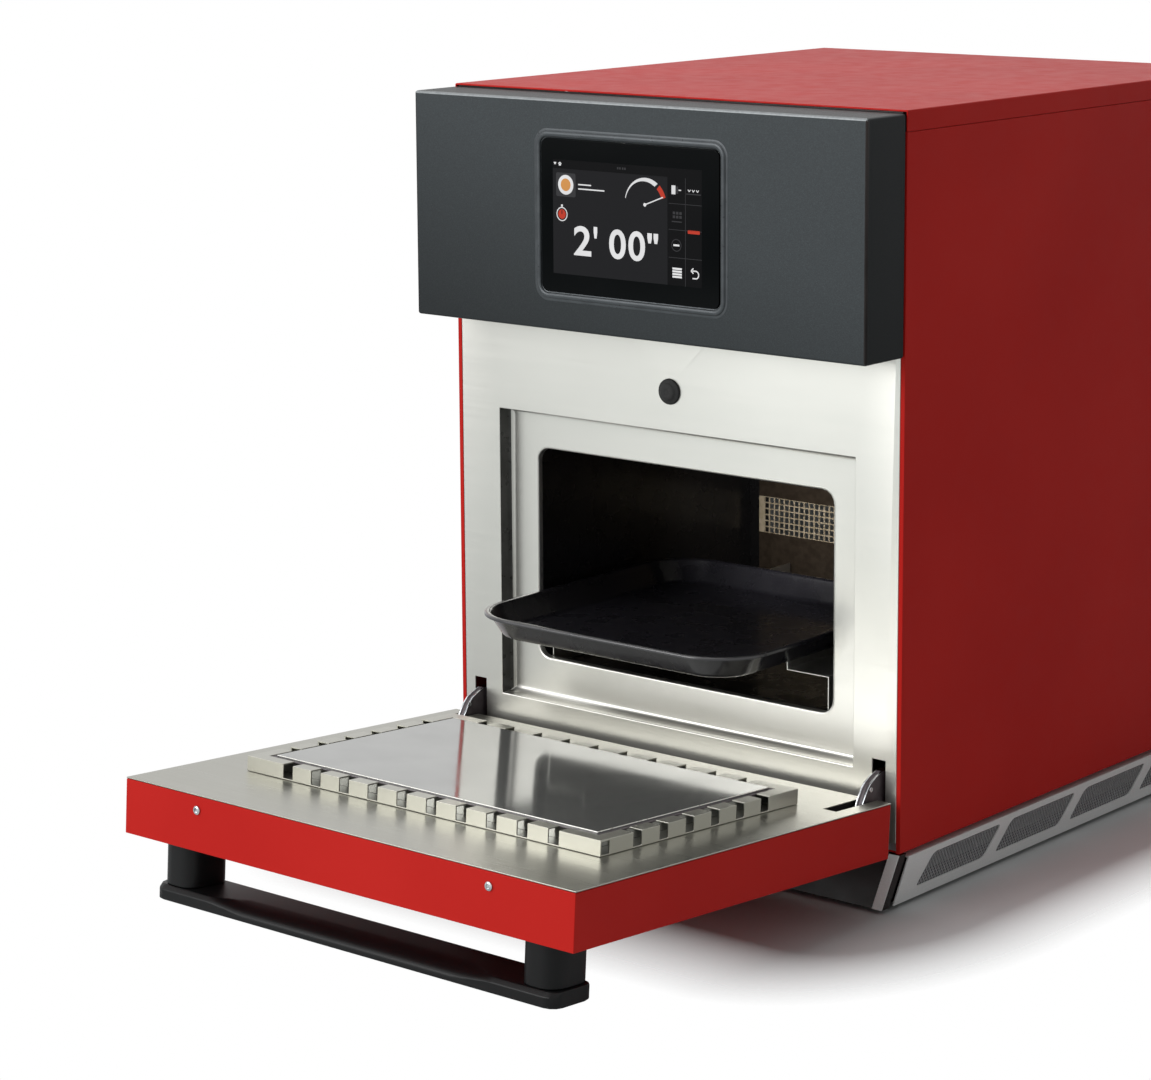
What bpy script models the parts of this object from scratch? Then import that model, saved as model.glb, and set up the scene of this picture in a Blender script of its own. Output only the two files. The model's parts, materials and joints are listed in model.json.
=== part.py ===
"""A countertop speed oven with its drop-down door open: one object for each piece of it."""

import math

import bmesh
import bpy
from mathutils import Matrix, Vector

# Driving sizes, in metres. x runs across the front, y back from the front plate's face, z up.
BODY_WIDTH = 0.450
BODY_DEPTH = 0.5195
BODY_HEIGHT = 0.5733
FOOT_HEIGHT = 0.003
PLINTH_HEIGHT = 0.0394
PLINTH_GAP = 0.0046
SHEET = 0.0012
FRAME_SHEET = 0.0015
CLEARANCE = 0.0003
OVERRUN = 0.004

HOOD_HEIGHT = 0.1835
HOOD_DEPTH = 0.0505
HOOD_SIDE_GAP = 0.00065
HOOD_TOP_GAP = 0.0026
HOOD_CLEARANCE = 0.002

RECESS_MARGIN = 0.045
RECESS_RISE = 0.0625
RECESS_HEAD = 0.0812
RECESS_DEPTH = 0.014
OPENING_MARGIN = 0.029
OPENING_SILL = 0.0332
OPENING_HEAD = 0.0313
OPENING_RADIUS = 0.012
CHAMBER_LIP = 0.006
CHAMBER_BACK_SPACE = 0.2195

DOOR_SIDE_GAP = 0.0013
DOOR_THICKNESS = 0.0438
HINGE_INSET = 0.0148
HINGE_RISE = 0.0225
CORNER_CLEARANCE = 0.0005
DOOR_TILT = math.radians(3.92)

# Sizes and places that follow from the driving sizes.
BODY_BOTTOM = FOOT_HEIGHT + PLINTH_HEIGHT + PLINTH_GAP
BODY_TOP = BODY_BOTTOM + BODY_HEIGHT
HALF_WIDTH = BODY_WIDTH / 2
HOOD_WIDTH = BODY_WIDTH - 2 * HOOD_SIDE_GAP
HOOD_RISE = BODY_HEIGHT - HOOD_TOP_GAP - HOOD_HEIGHT
DOOR_WIDTH = BODY_WIDTH - 2 * DOOR_SIDE_GAP
RECESS_WIDTH = BODY_WIDTH - 2 * RECESS_MARGIN
RECESS_HEIGHT = HOOD_RISE - RECESS_HEAD - RECESS_RISE
OPENING_WIDTH = RECESS_WIDTH - 2 * OPENING_MARGIN
OPENING_RISE = RECESS_RISE + OPENING_SILL
OPENING_HEIGHT = RECESS_HEIGHT - OPENING_SILL - OPENING_HEAD
CHAMBER_DEPTH = BODY_DEPTH - CHAMBER_BACK_SPACE
HINGE_MID = DOOR_THICKNESS / 2
HINGE_OUT = math.hypot(HINGE_INSET, HINGE_MID) + CORNER_CLEARANCE
HINGE_Y = -HINGE_OUT
HINGE_Z = BODY_BOTTOM + HINGE_RISE
DOOR_FOOT = HINGE_RISE - HINGE_INSET
DOOR_LENGTH = HOOD_RISE - HOOD_CLEARANCE - DOOR_FOOT
RECESS_LOW = BODY_BOTTOM + RECESS_RISE
RECESS_HIGH = RECESS_LOW + RECESS_HEIGHT
OPENING_LOW = BODY_BOTTOM + OPENING_RISE
OPENING_HIGH = OPENING_LOW + OPENING_HEIGHT
CHAMBER_HALF = OPENING_WIDTH / 2 + CHAMBER_LIP
CHAMBER_LOW = OPENING_LOW - CHAMBER_LIP
CHAMBER_HIGH = OPENING_HIGH + CHAMBER_LIP
CHAMBER_MID = (CHAMBER_LOW + CHAMBER_HIGH) / 2
CHAMBER_HEIGHT = CHAMBER_HIGH - CHAMBER_LOW
CHAMBER_FRONT = RECESS_DEPTH + FRAME_SHEET + CLEARANCE
CHAMBER_BACK = CHAMBER_FRONT + CHAMBER_DEPTH
HOOD_LOW = BODY_BOTTOM + HOOD_RISE
HOOD_HIGH = HOOD_LOW + HOOD_HEIGHT
PANEL_INSIDE = HALF_WIDTH - SHEET - CLEARANCE

# Handle, needed here because it may reach further forward than the door.
HANDLE_SETBACK = 0.0548
HANDLE_END_GAP = 0.0237
HANDLE_DEPTH = 0.0461
HANDLE_STANDOFF = 0.036
HANDLE_THICKNESS = 0.0118
HANDLE_BACK_U = DOOR_LENGTH - HANDLE_SETBACK
HANDLE_LENGTH = DOOR_WIDTH - 2 * HANDLE_END_GAP
EXHAUST_REACH = 0.018
GLAND_REACH = 0.024


def ahead_of_axis(u, v):
    """How far in front of the hinge axis a point of the open door lies."""
    return (u - HINGE_INSET) * math.cos(DOOR_TILT) + (v - HINGE_MID) * math.sin(DOOR_TILT)


FRONT_REACH = HINGE_OUT + max(
    ahead_of_axis(DOOR_LENGTH, DOOR_THICKNESS),
    ahead_of_axis(HANDLE_BACK_U + HANDLE_DEPTH, DOOR_THICKNESS + HANDLE_STANDOFF + HANDLE_THICKNESS),
)
BACK_REACH = BODY_DEPTH + max(EXHAUST_REACH, GLAND_REACH)
CENTRE_Y = (BACK_REACH - FRONT_REACH) / 2

# Colour, roughness and metallic value of each finish.
FINISHES = {
    "red_paint": ((0.45, 0.022, 0.018, 1), 0.38, 0.0),
    "anthracite_paint": ((0.045, 0.05, 0.053, 1), 0.42, 0.3),
    "brushed_steel": ((0.62, 0.61, 0.58, 1), 0.32, 1.0),
    "mirror_steel": ((0.72, 0.72, 0.70, 1), 0.06, 1.0),
    "chrome": ((0.75, 0.77, 0.80, 1), 0.08, 1.0),
    "galvanised_steel": ((0.48, 0.49, 0.50, 1), 0.45, 1.0),
    "grey_paint": ((0.32, 0.33, 0.33, 1), 0.45, 0.2),
    "black_enamel": ((0.012, 0.012, 0.014, 1), 0.22, 0.0),
    "black_plastic": ((0.018, 0.018, 0.019, 1), 0.48, 0.0),
    "black_glass": ((0.006, 0.006, 0.007, 1), 0.08, 0.0),
    "rubber": ((0.02, 0.02, 0.02, 1), 0.75, 0.0),
    "glass_wool": ((0.62, 0.58, 0.42, 1), 0.95, 0.0),
    "ceramic": ((0.80, 0.78, 0.72, 1), 0.5, 0.0),
    "circuit_board": ((0.02, 0.16, 0.06, 1), 0.5, 0.0),
    "aluminium": ((0.66, 0.67, 0.68, 1), 0.35, 1.0),
}


def clear_scene():
    for old in list(bpy.data.objects):
        bpy.data.objects.remove(old, do_unlink=True)


def new_collection(name):
    made = bpy.data.collections.new(name)
    bpy.context.scene.collection.children.link(made)
    return made


def new_material(name):
    colour, roughness, metallic = FINISHES[name]
    made = bpy.data.materials.new(name)
    made.use_nodes = True
    shader = made.node_tree.nodes["Principled BSDF"]
    shader.inputs["Base Color"].default_value = colour
    shader.inputs["Roughness"].default_value = roughness
    shader.inputs["Metallic"].default_value = metallic
    made.diffuse_color = colour
    return made


clear_scene()
PARTS = new_collection("speed_oven")
CUTTERS = new_collection("cutters")
MATERIALS = {name: new_material(name) for name in FINISHES}


def new_empty(name, place, turn=(0, 0, 0), parent=None):
    made = bpy.data.objects.new(name, None)
    made.location = place
    made.rotation_euler = turn
    made.parent = parent
    PARTS.objects.link(made)
    return made


OVEN = new_empty("oven_origin", (0, -CENTRE_Y, 0))
DOOR = new_empty("door_hinge_axis", (0, HINGE_Y, HINGE_Z), (-DOOR_TILT, 0, 0), OVEN)


def place(obj, name, parent, finish=None):
    """Names an object, hangs it on its parent, and makes it a piece or, with no finish, a cutter."""
    obj.name = name
    obj.data.name = name
    obj.parent = parent
    if finish is None:
        CUTTERS.objects.link(obj)
        obj.hide_render = True
        obj.display_type = "WIRE"
    else:
        PARTS.objects.link(obj)
        obj.data.materials.append(MATERIALS[finish])
    return obj


def object_of(shape):
    """An object that holds what a bmesh holds."""
    mesh = bpy.data.meshes.new("shape")
    shape.to_mesh(mesh)
    shape.free()
    return bpy.data.objects.new("shape", mesh)


def boxes(spans):
    """One object of boxes, each given by its x, y and z spans."""
    shape = bmesh.new()
    for span in spans:
        size = [high - low for low, high in span]
        middle = [(high + low) / 2 for low, high in span]
        fit = Matrix.Translation(middle) @ Matrix.Diagonal((*size, 1))
        bmesh.ops.create_cube(shape, size=1, matrix=fit)
    return object_of(shape)


def box(x, y, z):
    return boxes([(x, y, z)])


def centred(size, middle=0.0):
    return (middle - size / 2, middle + size / 2)


def frustum(low, high, z):
    """A box whose bottom and top are unlike rectangles, each given as (x span, y span)."""
    shape = bmesh.new()
    bmesh.ops.create_cube(shape, size=1)
    for corner in shape.verts:
        x_span, y_span = high if corner.co.z > 0 else low
        corner.co.z = z[1] if corner.co.z > 0 else z[0]
        corner.co.x = x_span[1] if corner.co.x > 0 else x_span[0]
        corner.co.y = y_span[1] if corner.co.y > 0 else y_span[0]
    return object_of(shape)


def boolean(obj, operation, other):
    made = obj.modifiers.new(other.name, "BOOLEAN")
    made.operation = operation
    made.solver = "EXACT"
    made.object = other
    return obj


def cut(obj, *cutters):
    for number, cutter in enumerate(cutters):
        place(cutter, f"{obj.name}_cut_{len(obj.modifiers) + number}", obj.parent)
        boolean(obj, "DIFFERENCE", cutter)
    return obj


def join(obj, *others):
    for number, other in enumerate(others):
        place(other, f"{obj.name}_add_{len(obj.modifiers) + number}", obj.parent)
        boolean(obj, "UNION", other)
    return obj


AXIS_TURNS = {
    "x": Matrix(((0, 0, 1, 0), (1, 0, 0, 0), (0, 1, 0, 0), (0, 0, 0, 1))),
    "y": Matrix(((0, 1, 0, 0), (0, 0, 1, 0), (1, 0, 0, 0), (0, 0, 0, 1))),
    "z": Matrix.Identity(4),
}


def cylinder(radius, span, middle, axis="z", sides=24, end_radius=None):
    """A cylinder or cone along an axis. middle is its place on the other two, in x, y, z order."""
    if axis == "y":
        middle = (middle[1], middle[0])
    shape = bmesh.new()
    fit = AXIS_TURNS[axis] @ Matrix.Translation((*middle, (span[0] + span[1]) / 2))
    last = radius if end_radius is None else end_radius
    bmesh.ops.create_cone(
        shape, cap_ends=True, segments=sides, radius1=radius, radius2=last,
        depth=span[1] - span[0], matrix=fit,
    )
    return object_of(shape)


def mesh_of_curve(curve):
    """A mesh object with a curve object's shape, its caps welded."""
    bpy.context.scene.collection.objects.link(curve)
    bpy.context.view_layer.update()
    graph = bpy.context.evaluated_depsgraph_get()
    mesh = bpy.data.meshes.new_from_object(curve.evaluated_get(graph))
    shape = bmesh.new()
    shape.from_mesh(mesh)
    bmesh.ops.remove_doubles(shape, verts=shape.verts, dist=CLEARANCE / 30)
    bmesh.ops.recalc_face_normals(shape, faces=shape.faces)
    shape.to_mesh(mesh)
    shape.free()
    made = bpy.data.objects.new("shape", mesh)
    made.matrix_world = curve.matrix_world
    bpy.data.objects.remove(curve)
    return made


def plate(outlines, span, axis):
    """Flat outlines given a thickness. A point is its place on the other two axes, in y, z, x, y order."""
    curve = bpy.data.curves.new("outline", "CURVE")
    curve.dimensions = "2D"
    curve.fill_mode = "BOTH"
    curve.extrude = (span[1] - span[0]) / 2
    for outline in outlines:
        spline = curve.splines.new("POLY")
        spline.points.add(len(outline) - 1)
        spline.use_cyclic_u = True
        for point, (a, b) in zip(spline.points, outline):
            point.co = (a, b, 0, 1)
    made = mesh_of_curve(bpy.data.objects.new("outline", curve))
    made.data.transform(AXIS_TURNS[axis] @ Matrix.Translation((0, 0, (span[0] + span[1]) / 2)))
    return made


def arc(middle, radius, start, end, steps):
    """Points on an arc, angles in degrees."""
    points = []
    for step in range(steps + 1):
        angle = math.radians(start + (end - start) * step / steps)
        points.append((middle[0] + radius * math.cos(angle), middle[1] + radius * math.sin(angle)))
    return points


def rounded(a, b, radius, steps=4, lean=0.0):
    """A rectangle with round corners over spans a and b. lean shifts its top along a."""
    points = []
    corners = ((a[1], b[1], 0), (a[0], b[1], 90), (a[0], b[0], 180), (a[1], b[0], 270))
    for edge_a, edge_b, start in corners:
        inside_a = edge_a - radius if edge_a == a[1] else edge_a + radius
        inside_b = edge_b - radius if edge_b == b[1] else edge_b + radius
        points += arc((inside_a, inside_b), radius, start, start + 90, steps)
    height = b[1] - b[0]
    return [(x + lean * (y - b[0]) / height, y) for x, y in points]


def bent_sheet(profile, span, thickness, axis="y"):
    """Folded sheet: a profile of (x, z), or of (y, z) with axis x, drawn out over a span.

    The thickness lies on the right of the profile as it runs, with the first of its axes to the
    right and z up.
    """
    shape = bmesh.new()
    rows = []
    for end in span if axis == "y" else reversed(span):
        row = [(a, end, b) if axis == "y" else (end, a, b) for a, b in profile]
        rows.append([shape.verts.new(point) for point in row])
    for first in range(len(profile) - 1):
        near, far = rows[0][first : first + 2], rows[1][first : first + 2]
        shape.faces.new((near[0], near[1], far[1], far[0]))
    made = object_of(shape)
    wall = made.modifiers.new("thickness", "SOLIDIFY")
    wall.thickness = thickness
    wall.offset = -1
    wall.use_even_offset = True
    return made


def turned(profile, axis_name, middle, steps=24):
    """A turned piece. The profile of (radius, height) runs top to bottom on its outer side."""
    mesh = bpy.data.meshes.new("profile")
    mesh.from_pydata([(r, 0, h) for r, h in profile], [(i, i + 1) for i in range(len(profile) - 1)], [])
    made = bpy.data.objects.new("profile", mesh)
    turn = made.modifiers.new("turn", "SCREW")
    turn.steps = steps
    turn.render_steps = steps
    turn.use_merge_vertices = True
    turn.merge_threshold = CLEARANCE / 30
    made.location = middle
    quarter = math.pi / 2
    made.rotation_euler = {
        "up": (0, 0, 0), "front": (quarter, 0, 0), "back": (-quarter, 0, 0), "left": (0, -quarter, 0),
        "right": (0, quarter, 0), "down": (math.pi, 0, 0),
    }[axis_name]
    return made


def loft(rings):
    """A closed skin over rings of as many points each, the first and last closed."""
    shape = bmesh.new()
    rows = [[shape.verts.new(point) for point in ring] for ring in rings]
    count = len(rows[0])
    for row, following in zip(rows, rows[1:]):
        for side in range(count):
            after = (side + 1) % count
            shape.faces.new((row[side], row[after], following[after], following[side]))
    shape.faces.new(list(reversed(rows[0])))
    shape.faces.new(rows[-1])
    bmesh.ops.recalc_face_normals(shape, faces=shape.faces)
    return object_of(shape)


def tube(points, radius, sides_step=1):
    """A round tube along points, as a mesh."""
    curve = bpy.data.curves.new("route", "CURVE")
    curve.dimensions = "3D"
    curve.bevel_depth = radius
    curve.bevel_resolution = sides_step
    curve.use_fill_caps = True
    spline = curve.splines.new("POLY")
    spline.points.add(len(points) - 1)
    for point, where in zip(spline.points, points):
        point.co = (*where, 1)
    return mesh_of_curve(bpy.data.objects.new("route", curve))


def smooth(obj, degrees=40):
    obj.data.shade_smooth()
    obj.data.set_sharp_from_angle(angle=math.radians(degrees))
    return obj


# Plinth, feet and base tray.
PLINTH_SLOPE = 0.008
PLINTH_SIDE_FRONT = 0.0126
PLINTH_REAR_GAP = 0.0145
PLINTH_SIDE_BACK = BODY_DEPTH - PLINTH_REAR_GAP
PLINTH_SIDE_LEAN = 0.0091
PLINTH_SIDE_RAKE = 0.018
WINDOW_FIRST = 0.0486
WINDOW_END = 0.0056
WINDOW_BAR = 0.0154
WINDOW_HEIGHT = 0.0256
WINDOW_DROP = 0.0054
WINDOW_RADIUS = 0.004
WINDOW_COUNT = 4
WINDOW_PITCH = (PLINTH_SIDE_BACK - WINDOW_END - WINDOW_FIRST) / WINDOW_COUNT
WINDOW_LENGTH = WINDOW_PITCH - WINDOW_BAR
MESH_THICKNESS = 0.0008
PLINTH_FRAME_GAP = 0.013
PLINTH_FRAME_HALF = HALF_WIDTH - PLINTH_FRAME_GAP
PLINTH_FRAME_FRONT = 0.014
PLINTH_FRAME_FLANGE = 0.026
PLINTH_RAIL = 0.006
FOOT_RADIUS = 0.011
PLINTH_FRONT_LEAN = 0.0115
PLINTH_FRONT_TOP = 0.001
PLINTH_FRONT_END = 0.009
TRAY_LIP = 0.015


def plinth_frame():
    """The black ring under the oven, with the air openings in its two long walls."""
    top = BODY_BOTTOM + SHEET
    x, y = (-PLINTH_FRAME_HALF, PLINTH_FRAME_HALF), (PLINTH_FRAME_FRONT, PLINTH_SIDE_BACK)
    obj = box(x, y, (FOOT_HEIGHT, top))
    inner_x, inner_y = inset(x, SHEET), inset(y, SHEET)
    place(obj, "plinth_frame", OVEN, "black_plastic")
    cut(
        obj,
        box(inner_x, inner_y, (FOOT_HEIGHT + SHEET, top + OVERRUN)),
        box(inset(x, PLINTH_FRAME_FLANGE), inset(y, PLINTH_FRAME_FLANGE), (-OVERRUN, top)),
        box(
            inset(x, -OVERRUN), inset(y, PLINTH_FRAME_FLANGE),
            (FOOT_HEIGHT + SHEET + PLINTH_RAIL, top - SHEET - PLINTH_RAIL),
        ),
    )


def inset(span, by):
    return (span[0] + by, span[1] - by)


def foot(name, side, at_back):
    middle_x = side * (PLINTH_FRAME_HALF - PLINTH_FRAME_FLANGE / 2)
    near, far = PLINTH_FRAME_FRONT, PLINTH_SIDE_BACK
    middle_y = far - PLINTH_FRAME_FLANGE / 2 if at_back else near + PLINTH_FRAME_FLANGE / 2
    obj = cylinder(FOOT_RADIUS - FOOT_HEIGHT / 3, (0, FOOT_HEIGHT - CLEARANCE), (middle_x, middle_y),
                   end_radius=FOOT_RADIUS)
    smooth(place(obj, name, OVEN, "rubber"))


def on_slope(obj, side, depth=0.0):
    """Turns a plate drawn at x = 0 below z = 0 into the plane of a side of the plinth."""
    lean = math.atan2(PLINTH_SLOPE, PLINTH_HEIGHT)
    seat = Matrix.Translation((side * (HALF_WIDTH - depth), 0, FOOT_HEIGHT + PLINTH_HEIGHT))
    obj.data.transform(seat @ Matrix.Rotation(side * lean, 4, "Y"))
    return obj


def plinth_side(name, side):
    """A sloping side plate with its leaning windows, folded in at the top and the bottom."""
    height = math.hypot(PLINTH_HEIGHT, PLINTH_SLOPE)
    thick = (-SHEET, 0) if side > 0 else (0, SHEET)
    front, back = PLINTH_SIDE_FRONT, PLINTH_SIDE_BACK
    outline = [(front, 0), (back, 0), (back, -height), (front - PLINTH_SIDE_LEAN, -height)]
    obj = place(on_slope(plate([outline], thick, "x"), side), name, OVEN, "grey_paint")
    for number in range(WINDOW_COUNT):
        start = WINDOW_FIRST + number * WINDOW_PITCH
        window = rounded(
            (start - PLINTH_SIDE_RAKE, start - PLINTH_SIDE_RAKE + WINDOW_LENGTH),
            (-WINDOW_DROP - WINDOW_HEIGHT, -WINDOW_DROP), WINDOW_RADIUS, 2, PLINTH_SIDE_RAKE,
        )
        cut(obj, on_slope(plate([window], inset(thick, -OVERRUN), "x"), side))
    reach = HALF_WIDTH - SHEET
    top = FOOT_HEIGHT + PLINTH_HEIGHT
    seat = PLINTH_FRAME_HALF + CLEARANCE
    upper = box(mirrored(side, seat, reach), (front, back), (top - SHEET, top))
    foot_reach = HALF_WIDTH - PLINTH_SLOPE - SHEET / 2
    lower = box(
        mirrored(side, seat, foot_reach), (front, back), (FOOT_HEIGHT, FOOT_HEIGHT + SHEET),
    )
    join(obj, upper, lower)


def mirrored(side, near, far):
    """A span of x on one side of the middle."""
    return (near, far) if side > 0 else (-far, -near)


def plinth_mesh(name, side):
    """The sheet of fine mesh behind a side plate's windows."""
    height = math.hypot(PLINTH_HEIGHT, PLINTH_SLOPE)
    thick = (-MESH_THICKNESS, 0) if side > 0 else (0, MESH_THICKNESS)
    outline = rounded(
        (PLINTH_SIDE_FRONT, PLINTH_SIDE_BACK - WINDOW_RADIUS),
        (-height + SHEET + WINDOW_DROP / 2, -SHEET - WINDOW_DROP / 2), WINDOW_RADIUS, 1,
    )
    obj = on_slope(plate([outline], thick, "x"), side, SHEET + CLEARANCE)
    place(obj, name, OVEN, "galvanised_steel")


def front_plinth():
    """The black panel that leans out under the door, with a folded return at each end."""
    z = (FOOT_HEIGHT, BODY_BOTTOM - PLINTH_FRONT_TOP)
    low_half, high_half = HALF_WIDTH - PLINTH_SLOPE, HALF_WIDTH
    low_y, high_y = -PLINTH_FRONT_LEAN, 0.0
    obj = frustum(
        ((-low_half, low_half), (low_y, low_y + PLINTH_FRONT_END)),
        ((-high_half, high_half), (high_y, high_y + PLINTH_FRONT_END)), z,
    )
    place(obj, "front_plinth", OVEN, "black_plastic")
    wall = SHEET
    hollow = frustum(
        ((wall - low_half, low_half - wall), (low_y + wall, low_y + PLINTH_FRONT_END + OVERRUN)),
        ((wall - high_half, high_half - wall), (high_y + wall, high_y + PLINTH_FRONT_END + OVERRUN)),
        inset(z, wall),
    )
    cut(obj, hollow)
    shelf = box(
        inset((-PLINTH_FRAME_HALF, PLINTH_FRAME_HALF), WINDOW_RADIUS),
        (wall / 2, PLINTH_FRAME_FRONT - CLEARANCE), (z[1] - wall, z[1]),
    )
    join(obj, shelf)


def base_tray():
    """The floor of the cabinet, folded up along its front and its back."""
    low = BODY_BOTTOM + SHEET + CLEARANCE
    front, back = FRAME_SHEET + CLEARANCE, BODY_DEPTH - SHEET - CLEARANCE
    profile = [(front, low + TRAY_LIP), (front, low), (back, low), (back, low + TRAY_LIP)]
    obj = bent_sheet(list(reversed(profile)), (-PANEL_INSIDE, PANEL_INSIDE), SHEET, "x")
    place(obj, "base_tray", OVEN, "galvanised_steel")


# Cabinet panels.
COVER_FLANGE = 0.016
SIDE_RETURN = 0.0037
SIDE_FLANGE = 0.012
FRAME_SIDE_GAP = 0.0042
FRAME_HALF = HALF_WIDTH - FRAME_SIDE_GAP
FRAME_BOTTOM = 0.008
BUFFER_DROP = 0.0486
BUFFER_RISE = HOOD_RISE - BUFFER_DROP
BUFFER_HOLE = 0.0063
SLOT_EDGE = 0.0192
SLOT_MIDDLE = DOOR_WIDTH / 2 - SLOT_EDGE
SLOT_WIDTH = 0.0125
SLOT_RISE = 0.030
SLOT_HEIGHT = 0.042
BACK_SLOTS = 9
BACK_SLOT_WIDTH = 0.006
BACK_SLOT_HEIGHT = 0.070
BACK_SLOT_PITCH = 0.016
BACK_SLOT_SIDE = 0.0535
BACK_SLOT_X = BACK_SLOT_SIDE - PANEL_INSIDE
BACK_SLOT_DROP = 0.1733
BACK_SLOT_RISE = BODY_HEIGHT - BACK_SLOT_DROP


def side_panel(name, side):
    """A red side, with a narrow return beside the front plate and inward folds at top and bottom."""
    top = BODY_TOP - COVER_FLANGE - CLEARANCE
    edge, inner = side * HALF_WIDTH, side * (HALF_WIDTH - SIDE_FLANGE)
    profile = [(inner, BODY_BOTTOM), (edge, BODY_BOTTOM), (edge, top), (inner, top)]
    if side > 0:
        profile.reverse()
    obj = bent_sheet(profile, (0, BODY_DEPTH), SHEET)
    place(obj, name, OVEN, "red_paint")
    fold = box(mirrored(side, HALF_WIDTH - SIDE_RETURN, HALF_WIDTH - SHEET / 2), (0, SHEET),
               (BODY_BOTTOM + SHEET / 2, top - SHEET / 2))
    join(obj, fold)
    inside = HALF_WIDTH - SIDE_FLANGE - OVERRUN
    tall = (BODY_BOTTOM - OVERRUN, top + OVERRUN)
    rear = (BODY_DEPTH - SHEET - CLEARANCE, BODY_DEPTH + OVERRUN)
    cut(
        obj,
        box(mirrored(side, inside, HALF_WIDTH - SHEET), rear, tall),
        box(mirrored(side, inside, HALF_WIDTH - SIDE_RETURN), (-OVERRUN, FRAME_SHEET + CLEARANCE), tall),
    )


def top_cover():
    low, half = BODY_TOP - COVER_FLANGE, HALF_WIDTH
    profile = [(-half, low), (-half, BODY_TOP), (half, BODY_TOP), (half, low)]
    place(bent_sheet(profile, (0, BODY_DEPTH), SHEET), "top_cover", OVEN, "red_paint")


def front_frame():
    """The steel front: a plate with a stepped recess round the opening, and the hinge slots."""
    top = BODY_TOP - SHEET - CLEARANCE
    obj = box((-FRAME_HALF, FRAME_HALF), (0, FRAME_SHEET), (BODY_BOTTOM + FRAME_BOTTOM, top))
    place(obj, "front_frame", OVEN, "brushed_steel")
    recess_x = (-RECESS_WIDTH / 2, RECESS_WIDTH / 2)
    recess_z = (RECESS_LOW, RECESS_HIGH)
    wall = FRAME_SHEET
    join(obj, box(inset(recess_x, -wall), (wall / 2, RECESS_DEPTH + wall), inset(recess_z, -wall)))
    opening = rounded(
        (OPENING_LOW, OPENING_HIGH), (-OPENING_WIDTH / 2, OPENING_WIDTH / 2), OPENING_RADIUS,
    )
    slot_z = (BODY_BOTTOM + SLOT_RISE, BODY_BOTTOM + SLOT_RISE + SLOT_HEIGHT)
    through = (-OVERRUN, FRAME_SHEET + OVERRUN)
    cut(
        obj,
        box(recess_x, (-OVERRUN, RECESS_DEPTH), recess_z),
        plate([opening], (0, RECESS_DEPTH + wall + OVERRUN), "y"),
        box(centred(SLOT_WIDTH, -SLOT_MIDDLE), through, slot_z),
        box(centred(SLOT_WIDTH, SLOT_MIDDLE), through, slot_z),
        cylinder(BUFFER_HOLE, through, (0, BODY_BOTTOM + BUFFER_RISE), "y"),
    )


def back_panel():
    """The back, with its vent slots and the holes for the fan, the duct and the cable gland."""
    y = (BODY_DEPTH - SHEET, BODY_DEPTH)
    z = (BODY_BOTTOM + SHEET + CLEARANCE, BODY_TOP - SHEET - CLEARANCE)
    obj = box((-PANEL_INSIDE, PANEL_INSIDE), y, z)
    place(obj, "back_panel", OVEN, "galvanised_steel")
    through = inset(y, -OVERRUN)
    fan_z = BODY_BOTTOM + COOLING_FAN_RISE
    cut(
        obj,
        cylinder(COOLING_FAN_BORE, through, (COOLING_FAN_X, fan_z), "y"),
        cylinder(GLAND_RADIUS + CLEARANCE, through, (GLAND_X, BODY_BOTTOM + GLAND_RISE), "y"),
        box(
            inset(centred(DUCT_WIDTH, DUCT_X), -CLEARANCE), through,
            inset(centred(DUCT_HEIGHT, DUCT_Z), -CLEARANCE),
        ),
    )
    low = BODY_BOTTOM + BACK_SLOT_RISE
    slots = []
    for number in range(BACK_SLOTS):
        middle = BACK_SLOT_X + number * BACK_SLOT_PITCH
        slots.append((centred(BACK_SLOT_WIDTH, middle), through, (low, low + BACK_SLOT_HEIGHT)))
    cut(obj, boxes(slots))


# Cooking chamber and what is in it.
CHAMBER_SHEET = 0.001
INSULATION = 0.025
FEED_HALF = 0.040
FEED_SETBACK = 0.0042
FEED_MIDDLE = CHAMBER_FRONT + CHAMBER_DEPTH / 2 + FEED_SETBACK
GUARD_SIDE_GAP = 0.011
GUARD_HALF = CHAMBER_HALF - GUARD_SIDE_GAP
GUARD_LOW_RISE = 0.012
GUARD_HIGH_RISE = CHAMBER_HEIGHT - GUARD_SIDE_GAP
GUARD_SHEET = 0.001
GUARD_HOLE = 0.0135
GUARD_PITCH = 0.0165
GUARD_COLUMNS = int(2 * GUARD_HALF / GUARD_PITCH)
GUARD_ROWS = 2
GUARD_ROW_SHARE = 0.371
INTAKE_MARGIN = 0.011
INTAKE_HALF = GUARD_HALF - INTAKE_MARGIN
INTAKE_SHARE = 0.576
INTAKE_HEIGHT = CHAMBER_HEIGHT * INTAKE_SHARE
PROBE_RADIUS = 0.002
PROBE_REACH = 0.030
PROBE_DROP = 0.004
PROBE_BACK_GAP = 0.0458
PROBE_Y = CHAMBER_BACK - PROBE_BACK_GAP
PROBE_Z = CHAMBER_HIGH - PROBE_DROP
PROBE_FLANGE = 0.007
RACK_STEP_RISE = 0.034
RACK_RAIL_RISE = 0.0085
RACK_TOP_RISE = RACK_STEP_RISE + RACK_RAIL_RISE
RACK_SIDE_GAP = 0.015
RACK_LEG = CHAMBER_HALF - RACK_SIDE_GAP
RACK_SHELF = 0.040
RACK_FOOT = 0.010
RACK_FRONT = 0.005
RACK_REAR = 0.015
RACK_LENGTH = CHAMBER_DEPTH - RACK_FRONT - RACK_REAR


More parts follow.
